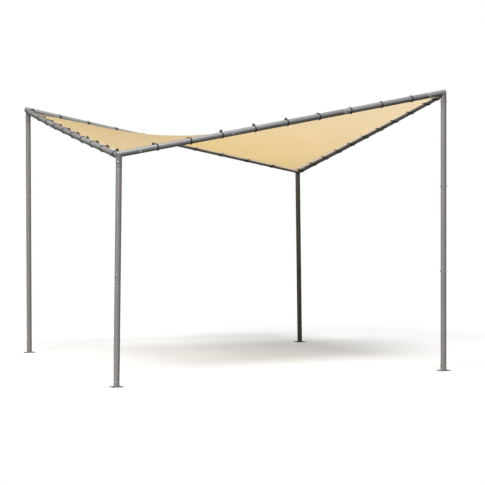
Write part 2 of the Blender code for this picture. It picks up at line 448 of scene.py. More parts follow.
class TubeEnd(Enum):
    """How the end of a tube is formed."""

    CUT = "cut square"
    BURIED = "ends inside another tube"
    SLEEVE = "full size, takes the next tube"
    NECK = "reduced, pushed into a sleeve"
    DOME = "closed with a domed cap"


@dataclass(frozen=True)
class FrameSizes:
    """Axis geometry of the gazebo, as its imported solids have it."""

    half_plan: float = 1.525
    high_corner: float = 2.494
    low_corner: float = 1.899
    foot_splay: float = 0.043
    centre_drop: float = 0.036
    low_arm: float = 0.226
    high_arm: float = 0.176
    end_tube: float = 0.836
    plate_top: float = 0.004
    # How far each beam's axis lies below the line between its corner points:
    # at its low end, at its high end, and the further sag halfway.
    drops: dict[Side, tuple[float, float, float]] = field(default_factory=lambda: {
        Side.FRONT: (0.0, 0.0, 0.003),
        Side.RIGHT: (0.010, 0.010, 0.0065),
        Side.BACK: (0.0, 0.0, 0.003),
        Side.LEFT: (0.012, 0.018, 0.013),
    })
    # How far each corner's through arm runs past its leg.
    overruns: dict[Corner, float] = field(default_factory=lambda: {
        Corner.LOW_A: 0.028, Corner.HIGH_B: 0.020, Corner.LOW_C: 0.028, Corner.HIGH_D: 0.037,
    })

    def corner_height(self, corner: Corner) -> float:
        """Height of the through arm's axis over a post."""
        return self.high_corner if corner.high else self.low_corner

    def corner_point(self, corner: Corner) -> Vector:
        """Where the post axis meets the through arm's axis."""
        x, y = corner.value
        return Vector((x * self.half_plan, y * self.half_plan, self.corner_height(corner)))

    def post_point(self, corner: Corner, height: float) -> Vector:
        """Point of a post's axis at a height; the low posts splay outward to their feet.

        Args:
            corner: the post's corner.
            height: height over the ground.
        Returns:
            The point.
        """
        x, y = corner.value
        reach = self.half_plan + (0.0 if corner.high else self.foot_splay)
        foot = Vector((x * reach, y * reach, 0.0))
        return foot.lerp(self.corner_point(corner), height / self.corner_height(corner))

    def beam_drop(self, side: Side, share: float) -> float:
        """How far a beam's axis lies below the line between its corners, at a share of it."""
        low, high, sag = self.drops[side]
        return low + (high - low) * share + 4.0 * sag * share * (1.0 - share)

    def beam_point(self, side: Side, distance: float) -> Vector:
        """Point of a beam's axis at a plan distance from its low corner.

        Args:
            side: the beam's side.
            distance: the plan distance.
        Returns:
            The point.
        """
        start, end = (self.corner_point(corner) for corner in side.value)
        share = distance / (2.0 * self.half_plan)
        point = start.lerp(end, share)
        point.z -= self.beam_drop(side, share)
        return point

    def stations(self) -> tuple[float, ...]:
        """Plan distances at which a beam's straight lengths begin and end.

        Returns:
            The distances from the low corner, in order.
        """
        span = 2.0 * self.half_plan
        last = span - self.high_arm
        first_joint, last_joint = self.low_arm + self.end_tube, last - self.end_tube
        return 0.0, self.low_arm, first_joint, last_joint, last, span

    def tube_frame(self, side: Side, distance: float) -> tuple[Vector, Vector]:
        """Axis point and direction of the straight length at a plan distance.

        Args:
            side: the beam's side.
            distance: plan distance from its low corner.
        Returns:
            The point and the direction toward the high corner.
        """
        marks = self.stations()
        first, last = next(pair for pair in zip(marks, marks[1:]) if distance <= pair[1])
        start, end = self.beam_point(side, first), self.beam_point(side, last)
        return start.lerp(end, (distance - first) / (last - first)), (end - start).normalized()

    def inward(self, side: Side) -> Vector:
        """Level direction from a beam toward the middle of the plan."""
        start, end = (self.corner_point(corner) for corner in side.value)
        return Vector((-start.x - end.x, -start.y - end.y, 0.0)).normalized()

    def sheet_height(self, x: float, y: float) -> float:
        """Height of the cloth's middle surface; it follows the nearer side beam's drop.

        Args:
            x: plan X.
            y: plan Y.
        Returns:
            The height.
        """
        u, v = x / self.half_plan, y / self.half_plan
        if u < 0.0:
            drop = self.beam_drop(Side.LEFT, (1.0 + v) / 2.0)
        else:
            drop = self.beam_drop(Side.RIGHT, (1.0 - v) / 2.0)
        dip = self.centre_drop * (1.0 - u * u) * (1.0 - v * v)
        middle = (self.high_corner + self.low_corner) / 2.0
        twist = (self.high_corner - self.low_corner) / 2.0
        return middle - twist * u * v - drop * u * u - dip


SIZES = FrameSizes()


# ---------------------------------------------------------------------- finishes


@dataclass(frozen=True)
class PowderCoat:
    """Mild steel, sprayed with polyester powder and oven-cured.

    It gives the eye a satin grey with a fine orange peel, faint cool and warm clouds
    from uneven film and weather, and a paler thin film on rims.
    """

    name: str = "powder_coated_steel"
    cool: str = "#6b706e"
    warm: str = "#746e6f"
    worn: str = "#969698"
    grime: str = "#4c4b47"
    roughness: float = 0.42
    gloss_drift: float = 0.10
    peel: float = 0.0022
    peel_depth: float = 0.00006
    cloud: float = 0.13
    speck: float = 0.007

    def build(self) -> bpy.types.Material:
        """Make the material.

        Returns:
            The material.
        """
        material, tree = blank_material(self.name)
        here = add_node(tree, "ShaderNodeTexCoord").outputs["Object"]
        cloud, speck, skin = (
            add_node(tree, "ShaderNodeTexNoise", {
                "Vector": here, "Scale": 1.0 / size, "Detail": detail})
            for size, detail in ((self.cloud, 3.0), (self.speck, 2.0), (self.peel, 1.0))
        )
        drift = add_node(tree, "ShaderNodeMapRange", {
            "Value": cloud, "From Min": 0.36, "From Max": 0.64})
        soil = add_node(tree, "ShaderNodeMapRange", {
            "Value": speck, "From Min": 0.52, "From Max": 0.78, "To Max": 0.45})
        rim = add_node(tree, "ShaderNodeNewGeometry").outputs["Pointiness"]
        wear = add_node(tree, "ShaderNodeMapRange", {
            "Value": rim, "From Min": 0.53, "From Max": 0.62, "To Max": 0.6})
        colour = linear(self.cool)
        for mask, tone in ((drift, self.warm), (soil, self.grime), (wear, self.worn)):
            colour = add_node(tree, "ShaderNodeMix", {
                "Factor": mask, "A": colour, "B": linear(tone)}, data_type="RGBA")
        gloss = add_node(tree, "ShaderNodeMapRange", {
            "Value": cloud, "To Min": self.roughness - self.gloss_drift,
            "To Max": self.roughness + self.gloss_drift})
        bump = add_node(tree, "ShaderNodeBump", {
            "Height": skin, "Distance": self.peel_depth, "Strength": 1.0})
        shader = add_node(tree, "ShaderNodeBsdfPrincipled", {
            "Base Color": colour, "Roughness": gloss, "Normal": bump, "IOR": 1.5})
        add_node(tree, "ShaderNodeOutputMaterial", {"Surface": shader})
        return material


@dataclass(frozen=True)
class ShadeCloth:
    """Knitted high-density polyethylene shade cloth, heat-set and hemmed.

    It gives the eye a matt tan sheet that glows when it is lit from above, with fine ribs, faint
    streaks along the knit and tones of tan that run softly into each other; these tones are
    painted light and shade, darkest at the front left and palest at the back right.
    """

    name: str = "knitted_shade_cloth"
    # Tones of the sheet toward low_a, high_b, high_d and low_c, on its face and in the light
    # through it. They are painted light and shade: the sheet is painted darkest at the front left
    # and palest at the back right.
    faces: tuple[str, str, str, str] = ("#decda3", "#e3cda8", "#ead7b0", "#f0d7b6")
    glows: tuple[str, str, str, str] = ("#e5dac6", "#efe5d2", "#f2e4be", "#fbedcc")
    # Plan distances over which one tone runs into the next, and how far clouds move them.
    face_span: tuple[float, float] = (-1.5, 1.5)
    glow_span: tuple[float, float] = (0.1, 1.45)
    depth_span: tuple[float, float] = (-1.4, 1.4)
    stray: float = 0.5
    streak_tone: str = "#cfb78e"
    # The doubled hem is paler on its face and in the light through it; part of that is the doubled
    # cloth's own tone, and part is painted light that lifts the beams' shadow off the hem.
    hem_tone: str = "#e4d6bf"
    hem_glow: str = "#f5ecdb"
    # The knit's ribs are 3 mm apart; they are drawn at 6 mm to show at all.
    rib: float = 0.006
    rib_depth: float = 0.0003
    cloud: float = 0.55
    streak: tuple[float, float] = (0.012, 0.7)
    through: float = 0.72
    through_hem: float = 0.70

    def faded(self, tree: bpy.types.NodeTree, places: Named, tones: Sequence[str],
              span: tuple[float, float]) -> bpy.types.Node:
        """Four corner tones that run into each other over the sheet along soft clouds.

        Args:
            tree: the material's tree.
            places: the plan place "u" and "v" and the "cloud" noise.
            tones: painted light and shade colours toward low_a, high_b, high_d and low_c.
            span: plan X over which the left tones turn into the right ones.
        Returns:
            The node with the colour.
        """
        known = add_rule(tree, dict(places), (
            ("sway", "SUBTRACT", "cloud", 0.5), ("drift", "MULTIPLY", "sway", self.stray),
            ("east", "ADD", "u", "drift"), ("north", "ADD", "v", "drift"),
        ))
        east, north = (
            add_node(tree, "ShaderNodeMapRange", {
                "Value": known[way], "From Min": first, "From Max": last})
            for way, (first, last) in (("east", span), ("north", self.depth_span))
        )
        front, back = (
            add_node(tree, "ShaderNodeMix", {
                "Factor": east, "A": linear(left), "B": linear(right)}, data_type="RGBA")
            for left, right in (tones[:2], tones[2:])
        )
        return add_node(tree, "ShaderNodeMix", {
            "Factor": north, "A": front, "B": back}, data_type="RGBA")

    def build(self) -> bpy.types.Material:
        """Make the material.

        Returns:
            The material.
        """
        material, tree = blank_material(self.name)
        weave = add_node(tree, "ShaderNodeUVMap", uv_map="weave")
        cloud = add_node(tree, "ShaderNodeTexNoise", {
            "Vector": weave, "Scale": 1.0 / self.cloud, "Detail": 2.0})
        run = add_node(tree, "ShaderNodeMapping", {
            "Vector": weave, "Scale": (1.0 / self.streak[0], 1.0 / self.streak[1], 1.0)})
        streak = add_node(tree, "ShaderNodeTexNoise", {"Vector": run, "Scale": 1.0, "Detail": 2.0})
        band = add_node(tree, "ShaderNodeMapRange", {
            "Value": streak, "From Min": 0.5, "From Max": 0.8, "To Max": 0.35})
        hem = add_node(tree, "ShaderNodeAttribute", attribute_name="hem").outputs["Fac"]
        plan = add_node(tree, "ShaderNodeSeparateXYZ", {"Vector": weave}).outputs
        places = {"u": plan["X"], "v": plan["Y"], "cloud": cloud}
        ribs = add_rule(tree, dict(places), (
            ("across", "MULTIPLY", "u", FULL_TURN / self.rib),
            ("down", "MULTIPLY", "v", FULL_TURN / self.rib),
            ("wale", "SINE", "across"),
            ("course", "SINE", "down"),
            ("low", "MULTIPLY", "course", 0.5),
            ("height", "ADD", "wale", "low"),
        ))["height"]
        bump = add_node(tree, "ShaderNodeBump", {
            "Height": ribs, "Distance": self.rib_depth, "Strength": 0.5})
        # Painted light and shade: the face's tone and the light through the cloth change from the
        # front left to the back right.
        colour = self.faded(tree, places, self.faces, self.face_span)
        # The hem's tone carries painted light as well as the doubled cloth's own paleness.
        for mask, tone in ((band, self.streak_tone), (hem, self.hem_tone)):
            colour = add_node(tree, "ShaderNodeMix", {
                "Factor": mask, "A": colour, "B": linear(tone)}, data_type="RGBA")
        glow = self.faded(tree, places, self.glows, self.glow_span)
        glow = add_node(tree, "ShaderNodeMix", {
            "Factor": hem, "A": glow, "B": linear(self.hem_glow)}, data_type="RGBA")
        through = add_node(tree, "ShaderNodeMapRange", {
            "Value": hem, "To Min": self.through, "To Max": self.through_hem})
        cloth = add_node(tree, "ShaderNodeBsdfPrincipled", {
            "Base Color": colour, "Roughness": 0.88, "Normal": bump, "Specular IOR Level": 0.25,
            "Sheen Weight": 0.10, "Sheen Roughness": 0.5})
        light = add_node(tree, "ShaderNodeBsdfTranslucent", {"Color": glow, "Normal": bump})
        shader = add_node(tree, "ShaderNodeMixShader", {0: through, 1: cloth, 2: light})
        add_node(tree, "ShaderNodeOutputMaterial", {"Surface": shader})
        return material


@dataclass(frozen=True)
class GrainedSolid:
    """Solid material whose surface has a fine grain: moulded, plated or spun.

    It gives the eye two close tones that drift into each other and a fine bump.
    """

    name: str
    light: str
    dark: str
    roughness: float
    gloss_drift: float = 0.08
    metallic: float = 0.0
    grain: float = 0.0012
    grain_depth: float = 0.00004
    cloud: float = 0.02

    def build(self) -> bpy.types.Material:
        """Make the material.

        Returns:
            The material.
        """
        material, tree = blank_material(self.name)
        here = add_node(tree, "ShaderNodeTexCoord").outputs["Object"]
        cloud, grain = (
            add_node(tree, "ShaderNodeTexNoise", {
                "Vector": here, "Scale": 1.0 / size, "Detail": detail})
            for size, detail in ((self.cloud, 3.0), (self.grain, 2.0))
        )
        drift = add_node(tree, "ShaderNodeMapRange", {
            "Value": cloud, "From Min": 0.35, "From Max": 0.65})
        colour = add_node(tree, "ShaderNodeMix", {
            "Factor": drift, "A": linear(self.dark), "B": linear(self.light)}, data_type="RGBA")
        gloss = add_node(tree, "ShaderNodeMapRange", {
            "Value": cloud, "To Min": self.roughness - self.gloss_drift,
            "To Max": self.roughness + self.gloss_drift})
        bump = add_node(tree, "ShaderNodeBump", {
            "Height": grain, "Distance": self.grain_depth, "Strength": 1.0})
        shader = add_node(tree, "ShaderNodeBsdfPrincipled", {
            "Base Color": colour, "Roughness": gloss, "Metallic": self.metallic, "Normal": bump})
        add_node(tree, "ShaderNodeOutputMaterial", {"Surface": shader})
        return material


# Polypropylene balls, injection-moulded: matt black with a faint grey bloom.
BALL_PLASTIC = GrainedSolid(
    "moulded_black_polypropylene", "#26262a", "#151517", 0.55, cloud=0.012)
# Steel bolts, zinc electroplated and passivated: bright cool silver, slightly cloudy.
ZINC_BOLT = GrainedSolid(
    "zinc_plated_steel", "#c9ccd1", "#9ba0a8", 0.42, metallic=1.0, cloud=0.004)
# Brass eyelets, stamped and nickel-flashed: warm pale metal, rubbed by the cords.
BRASS_EYELET = GrainedSolid(
    "stamped_brass_eyelet", "#d9c48f", "#a58c55", 0.34, metallic=1.0, cloud=0.006)
# Bonded polyester thread, spun: matt, a little darker than the cloth it holds.
SEWING_THREAD = GrainedSolid(
    "bonded_polyester_thread", "#c7a876", "#a98b5b", 0.80, grain=0.0006, cloud=0.03)


@dataclass(frozen=True)
class BraidedElastic:
    """Rubber strands in a braided polypropylene sleeve.

    It gives the eye a matt black cord with small crossing ridges, and painted shade that darkens
    the furrows between them.
    """

    name: str = "braided_elastic_cord"
    ridge: str = "#2b2a2c"
    furrow: str = "#0c0c0d"
    carriers: float = 8.0
    pitch: float = 0.012
    depth: float = 0.0004

    def build(self) -> bpy.types.Material:
        """Make the material.

        Returns:
            The material.
        """
        material, tree = blank_material(self.name)
        known = {}
        for label in ("cosine", "sine", "length"):
            stored = add_node(tree, "ShaderNodeAttribute", attribute_name="cord_" + label)
            known[label] = stored.outputs["Fac"]
        braid = add_rule(tree, known, (
            ("angle", "ARCTAN2", "sine", "cosine"),
            ("turn", "MULTIPLY", "angle", self.carriers),
            ("run", "MULTIPLY", "length", FULL_TURN * self.carriers / self.pitch),
            ("left", "ADD", "turn", "run"),
            ("right", "SUBTRACT", "turn", "run"),
            ("left_wave", "SINE", "left"),
            ("right_wave", "SINE", "right"),
            ("top", "MAXIMUM", "left_wave", "right_wave"),
        ))["top"]
        # Painted shade: the colour darkens with the braid's height, deepest in the furrows.
        tone = add_node(tree, "ShaderNodeMapRange", {
            "Value": braid, "From Min": -0.6, "From Max": 1.0})
        colour = add_node(tree, "ShaderNodeMix", {
            "Factor": tone, "A": linear(self.furrow), "B": linear(self.ridge)}, data_type="RGBA")
        bump = add_node(tree, "ShaderNodeBump", {
            "Height": braid, "Distance": self.depth, "Strength": 0.8})
        shader = add_node(tree, "ShaderNodeBsdfPrincipled", {
            "Base Color": colour, "Roughness": 0.75, "Normal": bump, "Specular IOR Level": 0.35})
        add_node(tree, "ShaderNodeOutputMaterial", {"Surface": shader})
        return material


# ------------------------------------------------------------------- sub-assemblies


@dataclass(frozen=True)
class TubeStock:
    """Steel tube and the shapes that its ends are formed to."""

    radius: float = 0.0254
    bore: float = 0.0237
    bore_depth: float = 0.014
    neck: float = 0.0231
    neck_shown: float = 0.0035
    neck_hidden: float = 0.010
    shoulder: float = 0.007
    rim: float = 0.0006
    cap: float = 0.011
    cap_steps: int = 7
    shoulder_steps: int = 5
    sides: int = 48

    def end_profile(self, end: TubeEnd) -> Profile:
        """Profile of an end, from the tube's axis out to its wall.

        Args:
            end: how the end is formed.
        Returns:
            (radius, distance beyond the end's plane); inside the tube it is negative.
        """
        full = self.radius
        if end is TubeEnd.CUT:
            return [(0.0, 0.0), (full - self.rim, 0.0), (full, -self.rim)]
        if end is TubeEnd.BURIED:
            return [(0.0, 0.0), (full - self.rim / 3.0, 0.0)]
        if end is TubeEnd.SLEEVE:
            return [
                (0.0, -self.bore_depth), (self.bore, -self.bore_depth), (self.bore, -self.rim),
                (self.bore + self.rim, 0.0), (full - self.rim, 0.0), (full, -self.rim),
            ]
        if end is TubeEnd.DOME:
            turns = [math.pi / 2.0 * i / self.cap_steps for i in range(self.cap_steps + 1)]
            return [(full * math.sin(a), self.cap * (math.cos(a) - 1.0)) for a in turns]
        shoulder = []
        for share in (i / self.shoulder_steps for i in range(self.shoulder_steps + 1)):
            rise = share * share * (3.0 - 2.0 * share)
            shoulder.append((
                self.neck + (full - self.neck) * rise, -self.neck_shown - self.shoulder * share))
        tip = self.neck_hidden
        return [(0.0, tip), (self.neck - self.rim, tip), (self.neck, tip - self.rim), *shoulder]

    def length(self, name: str, start: Vector, end: Vector,
               ends: tuple[TubeEnd, TubeEnd]) -> bpy.types.Mesh:
        """One length of tube between two axis points.

        Args:
            name: the mesh's name.
            start: the first axis point.
            end: the last axis point.
            ends: how the two ends are formed.
        Returns:
            The closed mesh, in place.
        """
        run = end - start
        first, last = (self.end_profile(form) for form in ends)
        below = [(radius, -beyond) for radius, beyond in first]
        above = [(radius, run.length + beyond) for radius, beyond in reversed(last)]
        turn = run.to_track_quat("Z", "Y").to_matrix().to_4x4()
        return lathe(name, below + above, self.sides, Matrix.Translation(start) @ turn)


STOCK = TubeStock()


@dataclass(frozen=True)
class FootPlates:
    """Square steel plates that the posts stand on."""

    side: float = 0.104
    thickness: float = 0.004
    corner_radius: float = 0.004
    corner_steps: int = 5
    edge: float = 0.0007

    def plate(self, name: str) -> bpy.types.Mesh:
        """Plate with rounded corners and eased edges, its underside on the ground.

        Args:
            name: the mesh's name.
        Returns:
            The closed mesh, about the Z axis.
        """
        radius = self.corner_radius
        half = self.side / 2.0 - radius
        outline = []
        for quarter, (x, y) in enumerate(((1, 1), (-1, 1), (-1, -1), (1, -1))):
            for step in range(self.corner_steps + 1):
                angle = math.pi / 2.0 * (quarter + step / self.corner_steps)
                outline.append((
                    x * half + radius * math.cos(angle), y * half + radius * math.sin(angle)))
        shape = bmesh.new()
        base = shape.faces.new([shape.verts.new((x, y, 0.0)) for x, y in outline])
        raised = bmesh.ops.extrude_face_region(shape, geom=[base])["geom"]
        top = [item for item in raised if isinstance(item, bmesh.types.BMVert)]
        bmesh.ops.translate(shape, vec=(0.0, 0.0, self.thickness), verts=top)
        bmesh.ops.recalc_face_normals(shape, faces=shape.faces)
        level = [edge for edge in shape.edges if edge.verts[0].co.z == edge.verts[1].co.z]
        bmesh.ops.bevel(
            shape, geom=level, offset=self.edge, segments=2, profile=0.5, affect="EDGES")
        return shade(mesh_of(name, shape))

    def build(self, finish: bpy.types.Material) -> None:
        """Place a plate under each post.

        Args:
            finish: the plates' material.
        """
        for corner in Corner:
            name = "foot_plate_" + corner.label
            mesh = self.plate(name)
            axis = SIZES.post_point(corner, self.thickness)
            mesh.transform(Matrix.Translation((axis.x, axis.y, 0.0)))
            mesh.materials.append(finish)
            settle(name, mesh, ["foot_" + corner.label])


@dataclass(frozen=True)
class Posts:
    """Corner posts, each of tubes with a reduced top end."""

    high_joints: tuple[float, ...] = (0.870, 1.620, 2.360)
    low_joints: tuple[float, ...] = (0.870, 1.790)
    clearance: float = 0.0001

    def joints(self, corner: Corner) -> tuple[float, ...]:
        """Heights of the joints in a post, its fitting's leg included."""
        return self.high_joints if corner.high else self.low_joints

    def build(self, finish: bpy.types.Material) -> None:
        """Make every post tube.

        Args:
            finish: the tubes' material.
        """
        for corner in Corner:
            names = ("lower", "middle", "upper") if corner.high else ("lower", "upper")
            joints = self.joints(corner)
            axis = SIZES.post_point(corner, 1.0) - SIZES.post_point(corner, 0.0)
            lean = math.hypot(axis.x, axis.y) / axis.length
            heights = (SIZES.plate_top + self.clearance + STOCK.radius * lean, *joints)
            for part, low, up in zip(names, heights, heights[1:]):
                ends = (TubeEnd.CUT if part == "lower" else TubeEnd.SLEEVE, TubeEnd.NECK)
                node = f"post_{corner.label}_{part}"
                start, end = SIZES.post_point(corner, low), SIZES.post_point(corner, up)
                mesh = STOCK.length(node, start, end, ends)
                mesh.materials.append(finish)
                settle(node + "_tube", mesh, [node])


@dataclass(frozen=True)
class CornerFittings:
    """Welded three-way corners: a leg, a through arm and a side arm below it."""

    bead_radius: float = 0.0022
    bead_pitch: float = 0.0045
    bead_ripple: float = 0.12
    bead_sides: int = 8
    bead_step: float = 0.0015
    # A seam is an edge sharper than this angle in degrees and this near to the corner's
    # own point. Its ends are joined where they are closer than the last of these.
    seam_angle: float = 24.0
    seam_reach: float = 0.060
    seam_merge: float = 0.0002

    def arms(self, corner: Corner) -> list[bpy.types.Mesh]:
        """Closed meshes of the two arms of a corner.

        Args:
            corner: the corner.
        Returns:
            The meshes, in place.
        """
        marks = SIZES.stations()
        made = []
        for side in Side:
            if corner not in side.value:
                continue
            near, far = marks[:2] if side.value[0] is corner else (marks[-1], marks[-2])
            inner, outer = SIZES.beam_point(side, near), SIZES.beam_point(side, far)
            first = TubeEnd.BURIED
            if not side.crosswise:
                inner = inner - (outer - inner).normalized() * SIZES.overruns[corner]
                first = TubeEnd.DOME
            made.append(STOCK.length(f"arm_{side.label}", inner, outer, (first, TubeEnd.SLEEVE)))
        return made

    def weldment(self, corner: Corner) -> bpy.types.Mesh:
        """Leg and arms of a corner joined into one closed mesh.

        Args:
            corner: the corner.
        Returns:
            The mesh, in place.
        """
        start = SIZES.post_point(corner, Posts().joints(corner)[-1])
        ends = (TubeEnd.SLEEVE, TubeEnd.BURIED)
        leg = add_object("leg", STOCK.length("leg", start, SIZES.corner_point(corner), ends))
        cutters = [add_object(mesh.name, mesh) for mesh in self.arms(corner)]
        for cutter in cutters:
            join = leg.modifiers.new(cutter.name, "BOOLEAN")
            join.operation = "UNION"
            join.solver = "EXACT"
            join.object = cutter
        mesh = applied(leg)
        for thing in (leg, *cutters):
            bpy.data.objects.remove(thing, do_unlink=True)
        return mesh

    def seams(self, corner: Corner, mesh: bpy.types.Mesh) -> bpy.types.Mesh:
        """Edges where the tubes of a weldment meet, as a wire.

        Args:
            corner: the corner.
            mesh: its weldment.
        Returns:
            The wire.
        """
        shape = bmesh.new()
        shape.from_mesh(mesh)
        peak = SIZES.corner_point(corner)
        limit = math.radians(self.seam_angle)
        kept = [
            edge for edge in shape.edges
            if edge.is_manifold and edge.calc_face_angle(0.0) > limit
            and ((edge.verts[0].co + edge.verts[1].co) / 2.0 - peak).length < self.seam_reach
        ]
        runs = [[vertex.co.copy() for vertex in edge.verts] for edge in kept]
        shape.free()
        seam = bmesh.new()
        seam.from_mesh(wire("weld_seam", runs))
        bmesh.ops.remove_doubles(seam, verts=seam.verts, dist=self.seam_merge)
        return mesh_of("weld_seam", seam)

    def bead(self, seam: bpy.types.Mesh, finish: bpy.types.Material) -> bpy.types.Mesh:
        """Rippled weld bead along the seams.

        Args:
            seam: the seams as a wire.
            finish: the bead's material.
        Returns:
            The bead's mesh.
        """
        recipe = NodeRecipe("weld_bead", {
            "Bead radius": self.bead_radius, "Ripple": self.bead_ripple,
            "Ripple pitch": self.bead_pitch, "Step": self.bead_step, "Sides": self.bead_sides,
            "Finish": finish})
        line = recipe.add("GeometryNodeMeshToCurve", {"Mesh": recipe["Geometry"]})
        line = recipe.add("GeometryNodeResampleCurve", {"Curve": line}, mode="LENGTH")
        recipe.tree.links.new(recipe["Step"], line.inputs["Length"])
        along = recipe.add("GeometryNodeSplineParameter").outputs["Length"]
        known = {"along": along, "pitch": recipe["Ripple pitch"], "ripple": recipe["Ripple"]}
        swell = add_rule(recipe.tree, known, (
            ("share", "DIVIDE", "along", "pitch"),
            ("turn", "MULTIPLY", "share", FULL_TURN),
            ("wave", "SINE", "turn"),
            ("part", "MULTIPLY", "wave", "ripple"),
            ("swell", "ADD", "part", 1.0),
        ))["swell"]
        ring = recipe.add("GeometryNodeCurvePrimitiveCircle", {
            "Resolution": recipe["Sides"], "Radius": recipe["Bead radius"]})
        recipe.close(recipe.add("GeometryNodeCurveToMesh", {
            "Curve": line, "Profile Curve": ring, "Scale": swell, "Fill Caps": True}))
        return shade(recipe.run(seam), angle=60.0)

    def build(self, finish: bpy.types.Material) -> None:
        """Make each corner and its weld.

        Args:
            finish: the material of both.
        """
        for corner in Corner:
            mesh = self.weldment(corner)
            bead = self.bead(self.seams(corner, mesh), finish)
            mesh.materials.clear()
            mesh.materials.append(finish)
            node = "fitting_" + corner.label
            settle(node + "_weldment", shade(mesh), [node])
            settle(node + "_weld_bead", bead)


@dataclass(frozen=True)
class Beams:
    """Sloping beams, each of three tubes between two corner fittings."""

    ends: tuple[tuple[TubeEnd, TubeEnd], ...] = (
        (TubeEnd.NECK, TubeEnd.SLEEVE), (TubeEnd.NECK, TubeEnd.NECK),
        (TubeEnd.SLEEVE, TubeEnd.NECK),
    )

    def build(self, finish: bpy.types.Material) -> None:
        """Make every beam tube.

        Args:
            finish: the tubes' material.
        """
        marks = SIZES.stations()[1:-1]
        for side in Side:
            for number, (first, last) in enumerate(zip(marks, marks[1:])):
                node = f"beam_{side.label}_{number + 1}"
                start, end = SIZES.beam_point(side, first), SIZES.beam_point(side, last)
                mesh = STOCK.length(node, start, end, self.ends[number])
                mesh.materials.append(finish)
                settle(node + "_tube", mesh, [node])


@dataclass(frozen=True)
class JointBolts:
    """Bolts through the tube joints, each with a domed head and a cap nut."""

    head_radius: float = 0.0075
    head_height: float = 0.0042
    washer_radius: float = 0.0092
    washer: float = 0.0012
    shank: float = 0.0030
    nut_radius: float = 0.0062
    nut_height: float = 0.0050
    cap_height: float = 0.0045
    seat: float = 0.0006
    nut_edge: float = 0.0004
    # The nut's foot and the thread in it are the first of these shares of the nut and the
    # shank; the nut's cap begins at the second.
    foot_share: float = 0.9
    cap_share: float = 0.86
    # Angles over which the head's dome and the nut's cap curve in toward their poles.
    dome_turns: tuple[float, ...] = (0.0, 0.25, 0.55, 0.90, 1.25)
    cap_turns: tuple[float, ...] = (0.0, 0.5, 1.0, 1.35)
    head_sides: int = 20
    nut_sides: int = 6
    # Heights on the high and low posts.
    high_heights: tuple[float, ...] = (0.038, 0.893, 1.656, 2.417)
    low_heights: tuple[float, ...] = (0.038, 0.910, 1.834)
    # Plan distances along each beam. The right one's second bolt is moved 18 mm, because a
    # tie crosses the tube there.
    marks: dict[Side, tuple[float, ...]] = field(default_factory=lambda: {
        Side.FRONT: (0.178, 1.004, 2.061, 2.901), Side.RIGHT: (0.185, 1.038, 2.075, 2.915),
        Side.BACK: (0.185, 1.020, 2.075, 2.915), Side.LEFT: (0.185, 1.020, 2.075, 2.915),
    })
    # How far each beam's bolt heads are turned up from level, in degrees.
    raised: dict[Side, float] = field(default_factory=lambda: {
        Side.FRONT: -26.0, Side.RIGHT: 0.0, Side.BACK: 0.0, Side.LEFT: 66.0,
    })

    def bolt(self) -> bpy.types.Mesh:
        """One bolt about the tube's axis, its head toward +Z.

        Returns:
            Head, shank and nut as one mesh.
        """
        face = STOCK.radius - self.seat
        washer_top, nut_top = face + self.washer, face + self.nut_height
        thread, foot = self.shank * self.foot_share, self.nut_radius * self.foot_share
        cap = self.nut_radius * self.cap_share
        head = [
            (0.0, 0.0), (self.shank, 0.0), (self.shank, face - self.washer),
            (self.washer_radius, face - self.washer), (self.washer_radius, washer_top),
            *((self.head_radius * math.cos(a), washer_top + self.head_height * math.sin(a))
              for a in self.dome_turns),
            (0.0, washer_top + self.head_height),
        ]
        nut = [
            (0.0, 0.0), (thread, 0.0), (thread, face), (foot, face),
            (self.nut_radius, face + self.nut_edge), (self.nut_radius, nut_top),
            *((cap * math.cos(a), nut_top + self.cap_height * math.sin(a))
              for a in self.cap_turns),
            (0.0, nut_top + self.cap_height),
        ]
        shape = bmesh.new()
        shape.from_mesh(lathe("bolt_head", head, self.head_sides))
        shape.from_mesh(
            lathe("bolt_nut", nut, self.nut_sides, Matrix.Rotation(math.pi, 4, "X")))
        return mesh_of("bolt", shape)

    def places(self) -> list[Seat]:
        """Seats of the bolts, each facing as its head does, along the tube.

        Returns:
            The seats.
        """
        made = []
        for corner in Corner:
            outward = Vector((*corner.value, 0.0)).normalized()
            up = (SIZES.corner_point(corner) - SIZES.post_point(corner, 0.0)).normalized()
            for height in self.high_heights if corner.high else self.low_heights:
                made.append((SIZES.post_point(corner, height), outward, up))
        for side in Side:
            for mark in self.marks[side]:
                axis, along = SIZES.tube_frame(side, mark)
                level = SIZES.inward(side) * (1.0 if side.crosswise else -1.0)
                rise = math.radians(self.raised[side])
                facing = level * math.cos(rise) + upright(along, level) * math.sin(rise)
                made.append((axis, facing, along))
        return made

    def build(self, finish: bpy.types.Material) -> None:
        """Make all the bolts as one piece."""
        mesh = scatter("joint_bolt", self.bolt(), self.places(), finish)
        settle("joint_bolts", shade(mesh, angle=40.0))


@dataclass(frozen=True)
class SideTies:
    """Ties of one side: plan distances from its low corner and where their balls sit.

    A ball is at (along the tube, inward, up) from the tube's axis.
    """

    first: float
    spacing: float
    count: int
    extra: tuple[float, ...] = ()
    balls: tuple[tuple[float, float, float], ...] = ((0.0, 0.065, 0.0148),)
    extra_balls: tuple[tuple[float, float, float], ...] = ()
    # How far the eyelets are from the tube's axis.
    reach: float = 0.062

    def distances(self) -> list[float]:
        """Plan distances of every tie."""
        return [self.first + i * self.spacing for i in range(self.count)] + list(self.extra)

    def ball(self, number: int) -> Vector:
        """Seat of a tie's ball; the last one given serves for the rest of its kind.

        Args:
            number: the tie's number, the extra ones last.
        Returns:
            The seat in the tie's frame.
        """
        given = self.balls
        if number >= self.count and self.extra_balls:
            given, number = self.extra_balls, number - self.count
        along, inward, up = given[min(number, len(given) - 1)]
        return Vector((inward, up, along))


